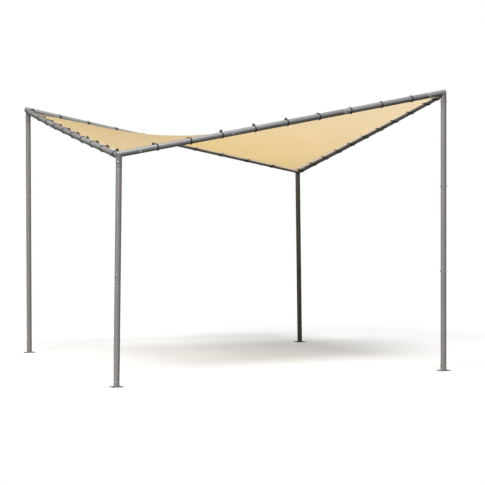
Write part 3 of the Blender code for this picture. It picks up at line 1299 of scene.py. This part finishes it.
@dataclass(frozen=True)
class BallTies:
    """Elastic cord loops round the tubes, through eyelets, each held by a ball."""

    cord_radius: float = 0.0026
    cord_sides: int = 10
    cord_gap: float = 0.0003
    wrap_steps: int = 18
    # How far the strands drop and rise through an eyelet, and how close together they run
    # there and in the ball, as shares of their spacing on the tube.
    eyelet_pass: float = 0.004
    eyelet_pinch: float = 0.8
    ball_pinch: float = 0.5
    ball_radius: float = 0.0133
    ball_steps: int = 7
    ball_sides: int = 24
    # The ball's parting line: how far it stands out, and half its width out there and
    # where it leaves the ball.
    lip_height: float = 0.0002
    lip_crest: float = 0.0004
    lip_foot: float = 0.0010
    eyelet_hole: float = 0.0048
    eyelet_rim: float = 0.0095
    eyelet_height: float = 0.0021
    eyelet_sides: int = 24
    rim_sides: int = 10
    sides: dict[Side, SideTies] = field(default_factory=lambda: {
        Side.FRONT: SideTies(
            0.906, 0.3025, 7, (0.330, 0.624), balls=(
                (0.010, 0.030, 0.032), (0.008, 0.030, 0.033), (0.006, 0.030, 0.031),
                (0.008, 0.033, 0.024), (0.007, 0.035, 0.019)),
            extra_balls=((-0.012, 0.045, 0.030), (-0.004, 0.045, 0.020))),
        Side.RIGHT: SideTies(
            0.424, 0.295, 9, (0.120, 2.940), balls=((0.0, 0.055, 0.0150),), reach=0.052),
        Side.BACK: SideTies(0.319, 0.300, 9),
        Side.LEFT: SideTies(
            0.447, 0.302, 8, (0.100, 2.985), balls=((0.0, 0.041, 0.0163),),
            extra_balls=((-0.049, 0.035, 0.024), (-0.020, 0.030, 0.033))),
    })

    def tie_frame(self, side: Side, distance: float) -> Matrix:
        """Frame at the tube's axis: X toward the eyelet, Y up, Z along the tube.

        Args:
            side: the tie's side.
            distance: its plan distance from the low corner.
        Returns:
            The frame as a matrix.
        """
        origin, along = SIZES.tube_frame(side, distance)
        toward = SIZES.inward(side)
        eyelet = origin + toward * self.sides[side].reach
        eyelet.z = SIZES.sheet_height(eyelet.x, eyelet.y)
        above = upright(along, toward)
        aim = eyelet - origin
        axis_x = (toward * aim.dot(toward) + above * aim.dot(above)).normalized()
        axis_y = (above - axis_x * above.dot(axis_x)).normalized()
        tie = Matrix((axis_x, axis_y, axis_x.cross(axis_y))).transposed().to_4x4()
        tie.translation = origin
        return tie

    def strand(self, ball: Vector, eyelet: float, lay: float) -> list[Vector]:
        """Path of one strand in the tie's frame, from the ball round the tube and back.

        Args:
            ball: the ball's centre.
            eyelet: the eyelet's distance from the tube's axis.
            lay: -1 or 1, the side of the loop that the strand is on.
        Returns:
            The path's points.
        """
        wrap = STOCK.radius + self.cord_radius + self.cord_gap
        shift = lay * (self.cord_radius + self.cord_gap)
        reach = math.hypot(ball.x, ball.y)
        start = math.atan2(ball.y, ball.x) + math.acos(wrap / reach)
        end = FULL_TURN - math.acos(wrap / eyelet)
        knot = Vector((ball.x, ball.y, ball.z + shift * self.ball_pinch))
        steps = self.wrap_steps
        arc = [start + (end - start) * i / steps for i in range(steps + 1)]
        points = [Vector((wrap * math.cos(a), wrap * math.sin(a), shift)) for a in arc]
        points += [
            Vector((eyelet, height, shift * self.eyelet_pinch))
            for height in (-self.eyelet_pass, self.eyelet_pass)
        ]
        return eased([knot, *points, knot])

    def cords(self, side: Side, finish: bpy.types.Material) -> bpy.types.Mesh:
        """Both strands of every tie of a side, as round cord.

        Args:
            side: the side.
            finish: the cords' material.
        Returns:
            The cords as one mesh.
        """
        layout = self.sides[side]
        runs = []
        for number, distance in enumerate(layout.distances()):
            tie = self.tie_frame(side, distance)
            for lay in (-1.0, 1.0):
                strand = self.strand(layout.ball(number), layout.reach, lay)
                runs.append([tie @ point for point in strand])
        recipe = NodeRecipe("elastic_cord", {
            "Cord radius": self.cord_radius, "Sides": self.cord_sides, "Finish": finish})
        line = recipe.add("GeometryNodeMeshToCurve", {"Mesh": recipe["Geometry"]})
        run = recipe.add("GeometryNodeSplineParameter").outputs["Length"]
        line = recipe.add("GeometryNodeStoreNamedAttribute", {
            "Geometry": line, "Name": "cord_length", "Value": run,
        }, data_type="FLOAT", domain="POINT")
        ring = recipe.add("GeometryNodeCurvePrimitiveCircle", {
            "Resolution": recipe["Sides"], "Radius": recipe["Cord radius"]})
        share = recipe.add("GeometryNodeSplineParameter").outputs["Factor"]
        turn = add_rule(recipe.tree, {"share": share}, (
            ("turn", "MULTIPLY", "share", FULL_TURN),
            ("cosine", "COSINE", "turn"),
            ("sine", "SINE", "turn"),
        ))
        for label in ("cosine", "sine"):
            ring = recipe.add("GeometryNodeStoreNamedAttribute", {
                "Geometry": ring, "Name": "cord_" + label, "Value": turn[label],
            }, data_type="FLOAT", domain="POINT")
        recipe.close(recipe.add("GeometryNodeCurveToMesh", {
            "Curve": line, "Profile Curve": ring, "Fill Caps": True}))
        return shade(recipe.run(wire("cord_runs", runs)), angle=60.0)

    def ball(self) -> bpy.types.Mesh:
        """Moulded ball with a faint parting line.

        Returns:
            The closed mesh about its centre.
        """
        steps, radius = self.ball_steps, self.ball_radius
        lower = [-math.pi / 2.0 * (1.0 - i / steps) for i in range(1, steps)]
        half = [(radius * math.cos(a), radius * math.sin(a)) for a in lower]
        lip = [(radius, -self.lip_foot), (radius + self.lip_height, -self.lip_crest)]
        below = [(0.0, -radius), *half, *lip]
        above = [(reach, -height) for reach, height in reversed(below)]
        return lathe("tie_ball", below + above, self.ball_sides)

    def eyelet(self) -> bpy.types.Mesh:
        """Rolled eyelet ring, as a closed ring about Z.

        Returns:
            The mesh.
        """
        middle = (self.eyelet_hole + self.eyelet_rim) / 2.0
        width = (self.eyelet_rim - self.eyelet_hole) / 2.0
        rim = [
            (middle + width * math.cos(a), self.eyelet_height * math.sin(a))
            for a in round_turns(self.rim_sides)
        ]
        shape = bmesh.new()
        rings = [
            [shape.verts.new((r * math.cos(a), r * math.sin(a), z)) for r, z in rim]
            for a in round_turns(self.eyelet_sides)
        ]
        for here, there in zip(rings, rings[1:] + rings[:1]):
            for i, (low, high) in enumerate(zip(here, there)):
                j = (i + 1) % len(rim)
                shape.faces.new((low, high, there[j], here[j]))
        bmesh.ops.recalc_face_normals(shape, faces=shape.faces)
        return shade(mesh_of("eyelet", shape))

    def seats_of(self, side: Side, places: Sequence[Vector]) -> list[Seat]:
        """Seats at one place of each tie, facing up from the cloth, along the tube.

        Args:
            side: the ties' side.
            places: the place in each tie's frame, in the ties' order.
        Returns:
            The seats.
        """
        made = []
        for distance, place in zip(self.sides[side].distances(), places):
            tie = self.tie_frame(side, distance)
            made.append((tie @ place, tie.col[1].xyz, tie.col[2].xyz))
        return made

    def eyelet_places(self, side: Side) -> list[Seat]:
        """Seats of a side's eyelets."""
        layout = self.sides[side]
        return self.seats_of(side, [Vector((layout.reach, 0.0, 0.0))] * len(layout.distances()))

    def build(self, cord: bpy.types.Material, plastic: bpy.types.Material,
              brass: bpy.types.Material) -> list[bpy.types.Object]:
        """Make the cords, balls and eyelets of every side.

        Args:
            cord: finish of the cords.
            plastic: finish of the balls.
            brass: finish of the eyelets.
        Returns:
            The pieces.
        """
        made = []
        for side in Side:
            layout = self.sides[side]
            cords = self.cords(side, cord)
            made.append(
                settle("tie_cords_" + side.label, cords, ["hem_ties_" + side.label]))
            centres = [layout.ball(number) for number in range(len(layout.distances()))]
            balls = scatter("tie_ball", self.ball(), self.seats_of(side, centres), plastic)
            made.append(settle("tie_balls_" + side.label, shade(balls)))
            rings = scatter("eyelet", self.eyelet(), self.eyelet_places(side), brass)
            made.append(settle("eyelets_" + side.label, shade(rings)))
        return made


@dataclass(frozen=True)
class Canopy:
    """Saddle sheet of shade cloth with a doubled, double-stitched hem."""

    sheet_half: float = 1.491
    hem_line: float = 1.441
    hem_step: float = 0.0008
    field_thickness: float = 0.0012
    hem_thickness: float = 0.0026
    hem_cells: int = 5
    margin: float = 1.25
    margin_cells: int = 19
    field_cells: int = 68
    scallop: float = 0.003
    scallop_reach: float = 0.13
    tie_reach: float = 0.075
    curl: float = 0.002
    pucker: float = 0.0022
    pucker_reach: float = 0.075
    pucker_folds: float = 8.0
    stitch_rows: tuple[float, ...] = (0.0755, 0.0810)
    stitch_pitch: float = 0.0075
    stitch_length: float = 0.0052
    stitch_width: float = 0.0012
    stitch_height: float = 0.0009
    flat: tuple[float, float] = (3.03, 3.03)
    flat_area: float = 8.93

    @staticmethod
    def beam_line(side: str) -> tuple[tuple, ...]:
        """Steps for how far a side beam lies below its corners' line.

        Args:
            side: "left" or "right".
        Returns:
            The steps: a mean drop, a tilt along the beam and a sag, added up.
        """
        return (
            (side + "_lean", "MULTIPLY", side + "_tilt", "v"),
            (side + "_bow", "MULTIPLY", side + "_sag", "open_v"),
            (side + "_line", "ADD", side + "_drop", side + "_lean"),
            (side + "_side", "ADD", side + "_line", side + "_bow"),
        )

    @staticmethod
    def bell(name: str, distance: str, reach: str) -> tuple[tuple, ...]:
        """Steps for a share that falls from 1 to nothing with distance, as a bell does.

        Args:
            name: the share's name.
            distance: name of the distance.
            reach: name of the distance at which the share has fallen to 1 / e.
        Returns:
            The steps.
        """
        return (
            (name + "_far", "DIVIDE", distance, reach),
            (name + "_far_2", "MULTIPLY", name + "_far", name + "_far"),
            (name + "_far_3", "MULTIPLY", name + "_far_2", -1.0),
            (name, "EXPONENT", name + "_far_3"),
        )

    def drawn_in(self, axis: str) -> tuple[tuple, ...]:
        """Steps that draw the cloth's edge inward along an axis of the plan.

        Args:
            axis: "x" or "y".
        Returns:
            The steps.
        """
        return (
            ("size_" + axis, "ABSOLUTE", axis),
            ("gap_" + axis, "SUBTRACT", "edge", "size_" + axis),
            *self.bell("edge_" + axis, "gap_" + axis, "scallop_reach"),
            ("pull_" + axis, "MULTIPLY", "bow", "edge_" + axis),
            ("sign_" + axis, "SIGN", axis),
            ("move_" + axis, "MULTIPLY", "pull_" + axis, "sign_" + axis),
            ("new_" + axis, "SUBTRACT", axis, "move_" + axis),
        )

    def rule(self) -> tuple[tuple, ...]:
        """Steps from a place on the flat plan to its place on the hung sheet.

        Returns:
            The steps, for add_rule.
        """
        return (
            ("u", "DIVIDE", "x", "half"), ("v", "DIVIDE", "y", "half"),
            ("uu", "MULTIPLY", "u", "u"), ("vv", "MULTIPLY", "v", "v"),
            ("uv", "MULTIPLY", "u", "v"),
            ("open_u", "SUBTRACT", 1.0, "uu"), ("open_v", "SUBTRACT", 1.0, "vv"),
            # Each half of the saddle follows its own side beam.
            *self.beam_line("left"), *self.beam_line("right"),
            ("on_left", "LESS_THAN", "x", 0.0),
            ("apart", "SUBTRACT", "left_side", "right_side"),
            ("chosen", "MULTIPLY", "apart", "on_left"),
            ("side_drop", "ADD", "right_side", "chosen"),
            ("side", "MULTIPLY", "side_drop", "uu"),
            ("bowl", "MULTIPLY", "open_u", "open_v"), ("dip", "MULTIPLY", "bowl", "centre"),
            ("tilt", "MULTIPLY", "twist", "uv"), ("level", "SUBTRACT", "middle", "tilt"),
            ("hung", "SUBTRACT", "level", "side"), ("saddle", "SUBTRACT", "hung", "dip"),
            # The nearest eyelet holds the cloth; between eyelets its edge bows inward.
            *self.bell("held", "reach", "tie_reach"), ("free", "SUBTRACT", 1.0, "held"),
            ("bow", "MULTIPLY", "free", "scallop"),
            *self.drawn_in("x"), *self.drawn_in("y"),
            # The slack edge curls down there.
            ("edges", "MAXIMUM", "edge_x", "edge_y"), ("slack", "MULTIPLY", "edges", "free"),
            ("droop", "MULTIPLY", "slack", "curl"),
            # Puckers fan out from each eyelet and fade.
            ("angle", "ARCTAN2", "dy", "dx"), ("fan", "MULTIPLY", "angle", "folds"),
            ("wave", "COSINE", "fan"), ("span", "DIVIDE", "reach", "pucker_reach"),
            ("span_2", "MULTIPLY", "span", -1.0), ("fade", "EXPONENT", "span_2"),
            ("start", "MULTIPLY", "free", "fade"), ("crease", "MULTIPLY", "wave", "start"),
            ("pucker_z", "MULTIPLY", "crease", "pucker"),
            ("lower", "SUBTRACT", "saddle", "droop"), ("z", "ADD", "lower", "pucker_z"),
        )

    def rule_values(self, eyelets: bpy.types.Object) -> Named:
        """Named inputs of the saddle rule and their values.

        Args:
            eyelets: points at the eyelets' plan places.
        Returns:
            Each input's value by its name.
        """
        beams = {}
        for side, way in ((Side.LEFT, 1.0), (Side.RIGHT, -1.0)):
            low, high, sag = SIZES.drops[side]
            name = side.label.capitalize()
            beams[name + " drop"] = (low + high) / 2.0
            beams[name + " tilt"] = way * (high - low) / 2.0
            beams[name + " sag"] = sag
        return {
            "Half plan": SIZES.half_plan,
            "Corner middle": (SIZES.high_corner + SIZES.low_corner) / 2.0,
            "Corner twist": (SIZES.high_corner - SIZES.low_corner) / 2.0,
            **beams, "Centre drop": SIZES.centre_drop,
            "Sheet half": self.sheet_half,
            "Scallop": self.scallop, "Scallop reach": self.scallop_reach,
            "Tie reach": self.tie_reach, "Edge curl": self.curl, "Pucker": self.pucker,
            "Pucker reach": self.pucker_reach, "Pucker folds": self.pucker_folds,
            "Eyelets": eyelets,
        }

    def hang(self, recipe: NodeRecipe,
             geometry: bpy.types.Node | bpy.types.NodeSocket) -> bpy.types.Node:
        """Lift flat geometry onto the saddle.

        Args:
            recipe: tree whose inputs are those of rule_values.
            geometry: flat geometry over the plan.
        Returns:
            The node that sets its position.
        """
        here = recipe.add("GeometryNodeInputPosition")
        place = recipe.add("ShaderNodeSeparateXYZ", {"Vector": here}).outputs
        flat = recipe.add("ShaderNodeCombineXYZ", {"X": place["X"], "Y": place["Y"]})
        points = recipe.add("GeometryNodeObjectInfo", {"Object": recipe["Eyelets"]})
        nearest = recipe.add("GeometryNodeProximity", {
            "Geometry": points.outputs["Geometry"], "Sample Position": flat,
        }, target_element="POINTS").outputs
        away = recipe.add("ShaderNodeVectorMath", {
            0: flat, 1: nearest["Position"]}, operation="SUBTRACT")
        turn = recipe.add("ShaderNodeSeparateXYZ", {"Vector": away}).outputs
        labels = {
            "half": "Half plan", "middle": "Corner middle", "twist": "Corner twist",
            "left_drop": "Left drop", "left_tilt": "Left tilt", "left_sag": "Left sag",
            "right_drop": "Right drop", "right_tilt": "Right tilt", "right_sag": "Right sag",
            "centre": "Centre drop", "edge": "Sheet half", "scallop": "Scallop",
            "scallop_reach": "Scallop reach", "tie_reach": "Tie reach", "curl": "Edge curl",
            "pucker": "Pucker", "pucker_reach": "Pucker reach", "folds": "Pucker folds",
        }
        known = {
            "x": place["X"], "y": place["Y"], "reach": nearest["Distance"],
            "dx": turn["X"], "dy": turn["Y"],
            **{name: recipe[label] for name, label in labels.items()},
        }
        add_rule(recipe.tree, known, self.rule())
        lifted = recipe.add("ShaderNodeCombineXYZ", {
            "X": known["new_x"], "Y": known["new_y"], "Z": known["z"]})
        return recipe.add("GeometryNodeSetPosition", {"Geometry": geometry, "Position": lifted})

    def plan_lines(self) -> list[float]:
        """Plan coordinates of the sheet's grid lines, closer together toward its hem.

        Returns:
            The coordinates, in order.
        """
        inner = self.hem_line - self.hem_step
        outer = self.hem_line + self.hem_step
        half = []
        hem = (self.sheet_half, outer, self.hem_cells)
        for first, last, cells in (hem, (inner, self.margin, self.margin_cells)):
            half += [first + (last - first) * i / cells for i in range(cells + 1)]
        half += [self.margin * (1.0 - i / self.field_cells) for i in range(1, self.field_cells)]
        return [-value for value in half] + [0.0] + half[::-1]

    def flat_sheet(self) -> bpy.types.Mesh:
        """Flat grid with the weave's UV map and the hem's weight.

        Returns:
            The mesh.
        """
        lines = self.plan_lines()
        count = len(lines)
        points = [(x, y, 0.0) for y in lines for x in lines]
        firsts = [row * count + i for row in range(count - 1) for i in range(count - 1)]
        faces = [(first, first + 1, first + count + 1, first + count) for first in firsts]
        mesh = bpy.data.meshes.new("flat_sheet")
        mesh.from_pydata(points, [], faces)
        weave = mesh.uv_layers.new(name="weave")
        for loop in mesh.loops:
            weave.data[loop.index].uv = points[loop.vertex_index][:2]
        hem = mesh.attributes.new("hem", "FLOAT", "POINT")
        hem.data.foreach_set(
            "value", [float(max(abs(x), abs(y)) > self.hem_line) for x, y, _ in points])
        return mesh

    def sheet(self, eyelets: bpy.types.Object, finish: bpy.types.Material) -> bpy.types.Mesh:
        """The hung sheet as an open surface.

        Args:
            eyelets: points at the eyelets' plan places.
            finish: the cloth.
        Returns:
            The mesh.
        """
        recipe = NodeRecipe("saddle_sheet", {**self.rule_values(eyelets), "Finish": finish})
        recipe.close(self.hang(recipe, recipe["Geometry"]))
        return recipe.run(self.flat_sheet())

    def thicken(self, surface: bpy.types.Mesh) -> bpy.types.Mesh:
        """Give the sheet its thickness, doubled at the hem, as a closed shell.

        Args:
            surface: the hung sheet.
        Returns:
            The shell.
        """
        thing = add_object("sheet", surface.copy())
        hem = thing.vertex_groups.new(name="hem_fold")
        weights = thing.data.attributes["hem"].data
        hem.add([i for i, item in enumerate(weights) if item.value > 0.5], 1.0, "REPLACE")
        wall = thing.modifiers.new("Thickness", "SOLIDIFY")
        wall.thickness = self.hem_thickness
        wall.thickness_vertex_group = self.field_thickness / self.hem_thickness
        wall.vertex_group = hem.name
        wall.offset = 0.0
        mesh = applied(thing)
        bpy.data.objects.remove(thing, do_unlink=True)
        return shade(mesh, angle=60.0)

    def stitching(self, side: Side, eyelets: bpy.types.Object, surface: bpy.types.Object,
                  finish: bpy.types.Material) -> bpy.types.Mesh:
        """Two rows of lock stitch along one side's hem, seen on both faces of the cloth.

        Args:
            side: the hem's side.
            eyelets: points at the eyelets' plan places.
            surface: the hung sheet.
            finish: the thread.
        Returns:
            The stitches as one mesh.
        """
        toward = SIZES.inward(side)
        along = Vector((-toward.y, toward.x, 0.0))
        rows = []
        for reach in self.stitch_rows:
            line = SIZES.half_plan - reach
            rows.append([-toward * line - along * line, -toward * line + along * line])
        recipe = NodeRecipe("hem_stitching", {
            **self.rule_values(eyelets), "Pitch": self.stitch_pitch,
            "Stitch length": self.stitch_length, "Stitch width": self.stitch_width,
            "Stitch height": self.stitch_height, "Cloth half": self.hem_thickness / 2.0,
            "Cloth": surface, "Finish": finish})
        line = recipe.add("GeometryNodeMeshToCurve", {"Mesh": recipe["Geometry"]})
        line = recipe.add("GeometryNodeResampleCurve", {"Curve": line}, mode="LENGTH")
        recipe.tree.links.new(recipe["Pitch"], line.inputs["Length"])
        line = self.hang(recipe, line)
        cloth = recipe.add("GeometryNodeObjectInfo", {"Object": recipe["Cloth"]})
        normal = recipe.add("GeometryNodeSampleNearestSurface", {
            "Mesh": cloth.outputs["Geometry"], "Value": recipe.add("GeometryNodeInputNormal"),
            "Sample Position": recipe.add("GeometryNodeInputPosition"),
        }, data_type="FLOAT_VECTOR")
        turn = recipe.add("FunctionNodeAlignRotationToVector", {
            "Vector": recipe.add("GeometryNodeInputTangent")}, axis="X")
        turn = recipe.add("FunctionNodeAlignRotationToVector", {
            "Rotation": turn, "Vector": normal}, axis="Z", pivot_axis="X")
        bead = recipe.add("GeometryNodeMeshUVSphere", {"Segments": 6, "Rings": 4, "Radius": 0.5})
        size = recipe.add("ShaderNodeCombineXYZ", {
            "X": recipe["Stitch length"], "Y": recipe["Stitch width"],
            "Z": recipe["Stitch height"]})
        pair = recipe.add("GeometryNodeJoinGeometry")
        for way in (1.0, -1.0):
            lift = recipe.add("ShaderNodeMath", {
                0: recipe["Cloth half"], 1: way}, operation="MULTIPLY")
            shift = recipe.add("ShaderNodeCombineXYZ", {"Z": lift})
            half = recipe.add("GeometryNodeTransform", {
                "Geometry": bead, "Translation": shift, "Scale": size})
            recipe.tree.links.new(half.outputs[0], pair.inputs[0])
        recipe.close(recipe.add("GeometryNodeInstanceOnPoints", {
            "Points": line, "Instance": pair, "Rotation": turn}))
        return shade(recipe.run(wire("stitch_rows", rows)), angle=80.0)

    def build(self, ties: BallTies, cloth: bpy.types.Material, thread: bpy.types.Material,
              tie_pieces: list[bpy.types.Object]) -> None:
        """Hang the sheet and sew its hem.

        Args:
            ties: the ties that hold it.
            cloth: finish of the sheet.
            thread: finish of the stitches.
            tie_pieces: the ties' pieces; not used.
        """
        marks = [seat[0] for side in Side for seat in ties.eyelet_places(side)]
        spots = [[Vector((mark.x, mark.y, 0.0))] for mark in marks]
        eyelets = add_object("eyelet_marks", wire("eyelet_marks", spots))
        surface = add_object("surface", self.sheet(eyelets, cloth))
        sheet = settle("canopy_sheet", self.thicken(surface.data), ["canopy"])
        for side in Side:
            mesh = self.stitching(side, eyelets, surface, thread)
            settle("hem_stitching_" + side.label, mesh)
        for helper in (eyelets, surface):
            bpy.data.objects.remove(helper, do_unlink=True)


@dataclass(frozen=True)
class Studio:
    """Pale floor, soft light and the camera."""

    focal_pixels: float = 1354.93
    frame_pixels: float = 485.0
    centre_pixels: tuple[float, float] = (185.33, 242.5)
    sensor: float = 36.0
    camera_place: tuple[float, float, float] = (-4.9099, -12.0909, 1.360)
    yaw: float = 0.3587
    pitch: float = -0.0166
    roll: float = -0.0029
    floor_radius: float = 40.0
    floor_sides: int = 96
    # The floor lies this far under the object's ground, so that no two faces share a plane.
    floor_drop: float = 0.0005
    floor_seen: str = "#e6e6e6"
    floor_bounce: str = "#828078"
    fade: tuple[float, float] = (3.2, 5.5)
    # Share of the backdrop that shows through the floor, so that its shadow stays pale.
    veil: float = 0.45
    # Each lamp's angle from -Y toward -X, its elevation (degrees) and its power (watts).
    lamps: tuple[tuple[str, float, float, float], ...] = (
        ("front", 50.0, 35.0, 5600.0), ("crown", 10.0, 60.0, 4800.0), ("side", 85.0, 65.0, 3750.0))
    lamp_distance: float = 24.0
    lamp_size: float = 6.5
    aim: tuple[float, float, float] = (0.0, 0.0, 1.2)
    fill: float = 0.08

    def camera(self) -> None:
        """Camera at the solved place, nearly level, with a long lens."""
        data = bpy.data.cameras.new("camera")
        data.sensor_width = self.sensor
        data.sensor_fit = "HORIZONTAL"
        data.lens = self.focal_pixels * self.sensor / self.frame_pixels
        data.shift_x = (self.frame_pixels / 2.0 - self.centre_pixels[0]) / self.frame_pixels
        forward = Vector((
            math.sin(self.yaw) * math.cos(self.pitch),
            math.cos(self.yaw) * math.cos(self.pitch), math.sin(self.pitch)))
        level = Vector((math.cos(self.yaw), -math.sin(self.yaw), 0.0))
        upward = level.cross(forward)
        right = level * math.cos(self.roll) + upward * math.sin(self.roll)
        pose = Matrix((right, right.cross(forward), -forward)).transposed().to_4x4()
        pose.translation = self.camera_place
        camera = bpy.data.objects.new("camera", data)
        camera.matrix_world = pose
        bpy.context.scene.collection.objects.link(camera)
        bpy.context.scene.camera = camera

    def floor(self) -> None:
        """Round pale floor that fades into the backdrop away from the object."""
        material, tree = blank_material("studio_floor")
        here = add_node(tree, "ShaderNodeTexCoord").outputs["Object"]
        reach = add_node(tree, "ShaderNodeVectorMath", {0: here}, operation="LENGTH")
        seen = add_node(tree, "ShaderNodeLightPath").outputs["Is Camera Ray"]
        veil = add_node(tree, "ShaderNodeMath", {0: seen, 1: self.veil}, operation="MULTIPLY")
        fade = add_node(tree, "ShaderNodeMapRange", {
            "Value": reach.outputs["Value"], "From Min": self.fade[0],
            "From Max": self.fade[1], "To Min": veil}, interpolation_type="SMOOTHSTEP")
        tone = add_node(tree, "ShaderNodeMix", {
            "Factor": seen, "A": linear(self.floor_bounce), "B": linear(self.floor_seen),
        }, data_type="RGBA")
        paint = add_node(tree, "ShaderNodeBsdfDiffuse", {"Color": tone})
        clear = add_node(tree, "ShaderNodeBsdfTransparent")
        mixed = add_node(tree, "ShaderNodeMixShader", {0: fade, 1: paint, 2: clear})
        add_node(tree, "ShaderNodeOutputMaterial", {"Surface": mixed})
        shape = bmesh.new()
        bmesh.ops.create_circle(
            shape, cap_ends=True, segments=self.floor_sides, radius=self.floor_radius)
        mesh = mesh_of("studio_floor", shape)
        mesh.materials.append(material)
        floor = add_object("studio_floor", mesh)
        floor.location.z = -self.floor_drop

    def light(self) -> None:
        """Three large soft lamps over the front and the left, and an even fill all round."""
        for name, turn, rise, power in self.lamps:
            data = bpy.data.lights.new(name, "AREA")
            data.shape = "SQUARE"
            data.size = self.lamp_size
            data.energy = power
            turn, rise = math.radians(turn), math.radians(rise)
            way = Vector((
                -math.sin(turn) * math.cos(rise), -math.cos(turn) * math.cos(rise),
                math.sin(rise)))
            lamp = bpy.data.objects.new(name, data)
            lamp.location = Vector(self.aim) + way * self.lamp_distance
            lamp.rotation_euler = (-way).to_track_quat("-Z", "Y").to_euler()
            bpy.context.scene.collection.objects.link(lamp)
        world = bpy.data.worlds.new("studio")
        bpy.context.scene.world = world
        world.use_nodes = True
        tree = world.node_tree
        tree.nodes.clear()
        seen = add_node(tree, "ShaderNodeLightPath").outputs["Is Camera Ray"]
        strength = add_node(tree, "ShaderNodeMapRange", {
            "Value": seen, "To Min": self.fill, "To Max": 1.0})
        sky = add_node(tree, "ShaderNodeBackground", {
            "Color": linear("#ffffff"), "Strength": strength})
        add_node(tree, "ShaderNodeOutputWorld", {"Surface": sky})

    def build(self) -> None:
        """Set up the stage."""
        bpy.context.scene.view_settings.view_transform = "Standard"
        self.camera()
        self.floor()
        self.light()


def main() -> None:
    """Dress the whole gazebo."""
    logging.basicConfig(level=logging.INFO, format="%(message)s")
    Studio().build()
    steel = PowderCoat().build()
    plate = PowderCoat(
        name="powder_coated_foot_plate", cool="#676b6b", warm="#6e6a6b", roughness=0.50).build()
    FootPlates().build(plate)
    Posts().build(steel)
    CornerFittings().build(steel)
    Beams().build(steel)
    JointBolts().build(ZINC_BOLT.build())
    ties = BallTies()
    tie_pieces = ties.build(BraidedElastic().build(), BALL_PLASTIC.build(), BRASS_EYELET.build())
    Canopy().build(ties, ShadeCloth().build(), SEWING_THREAD.build(), tie_pieces)


if __name__ == "__main__":
    main()
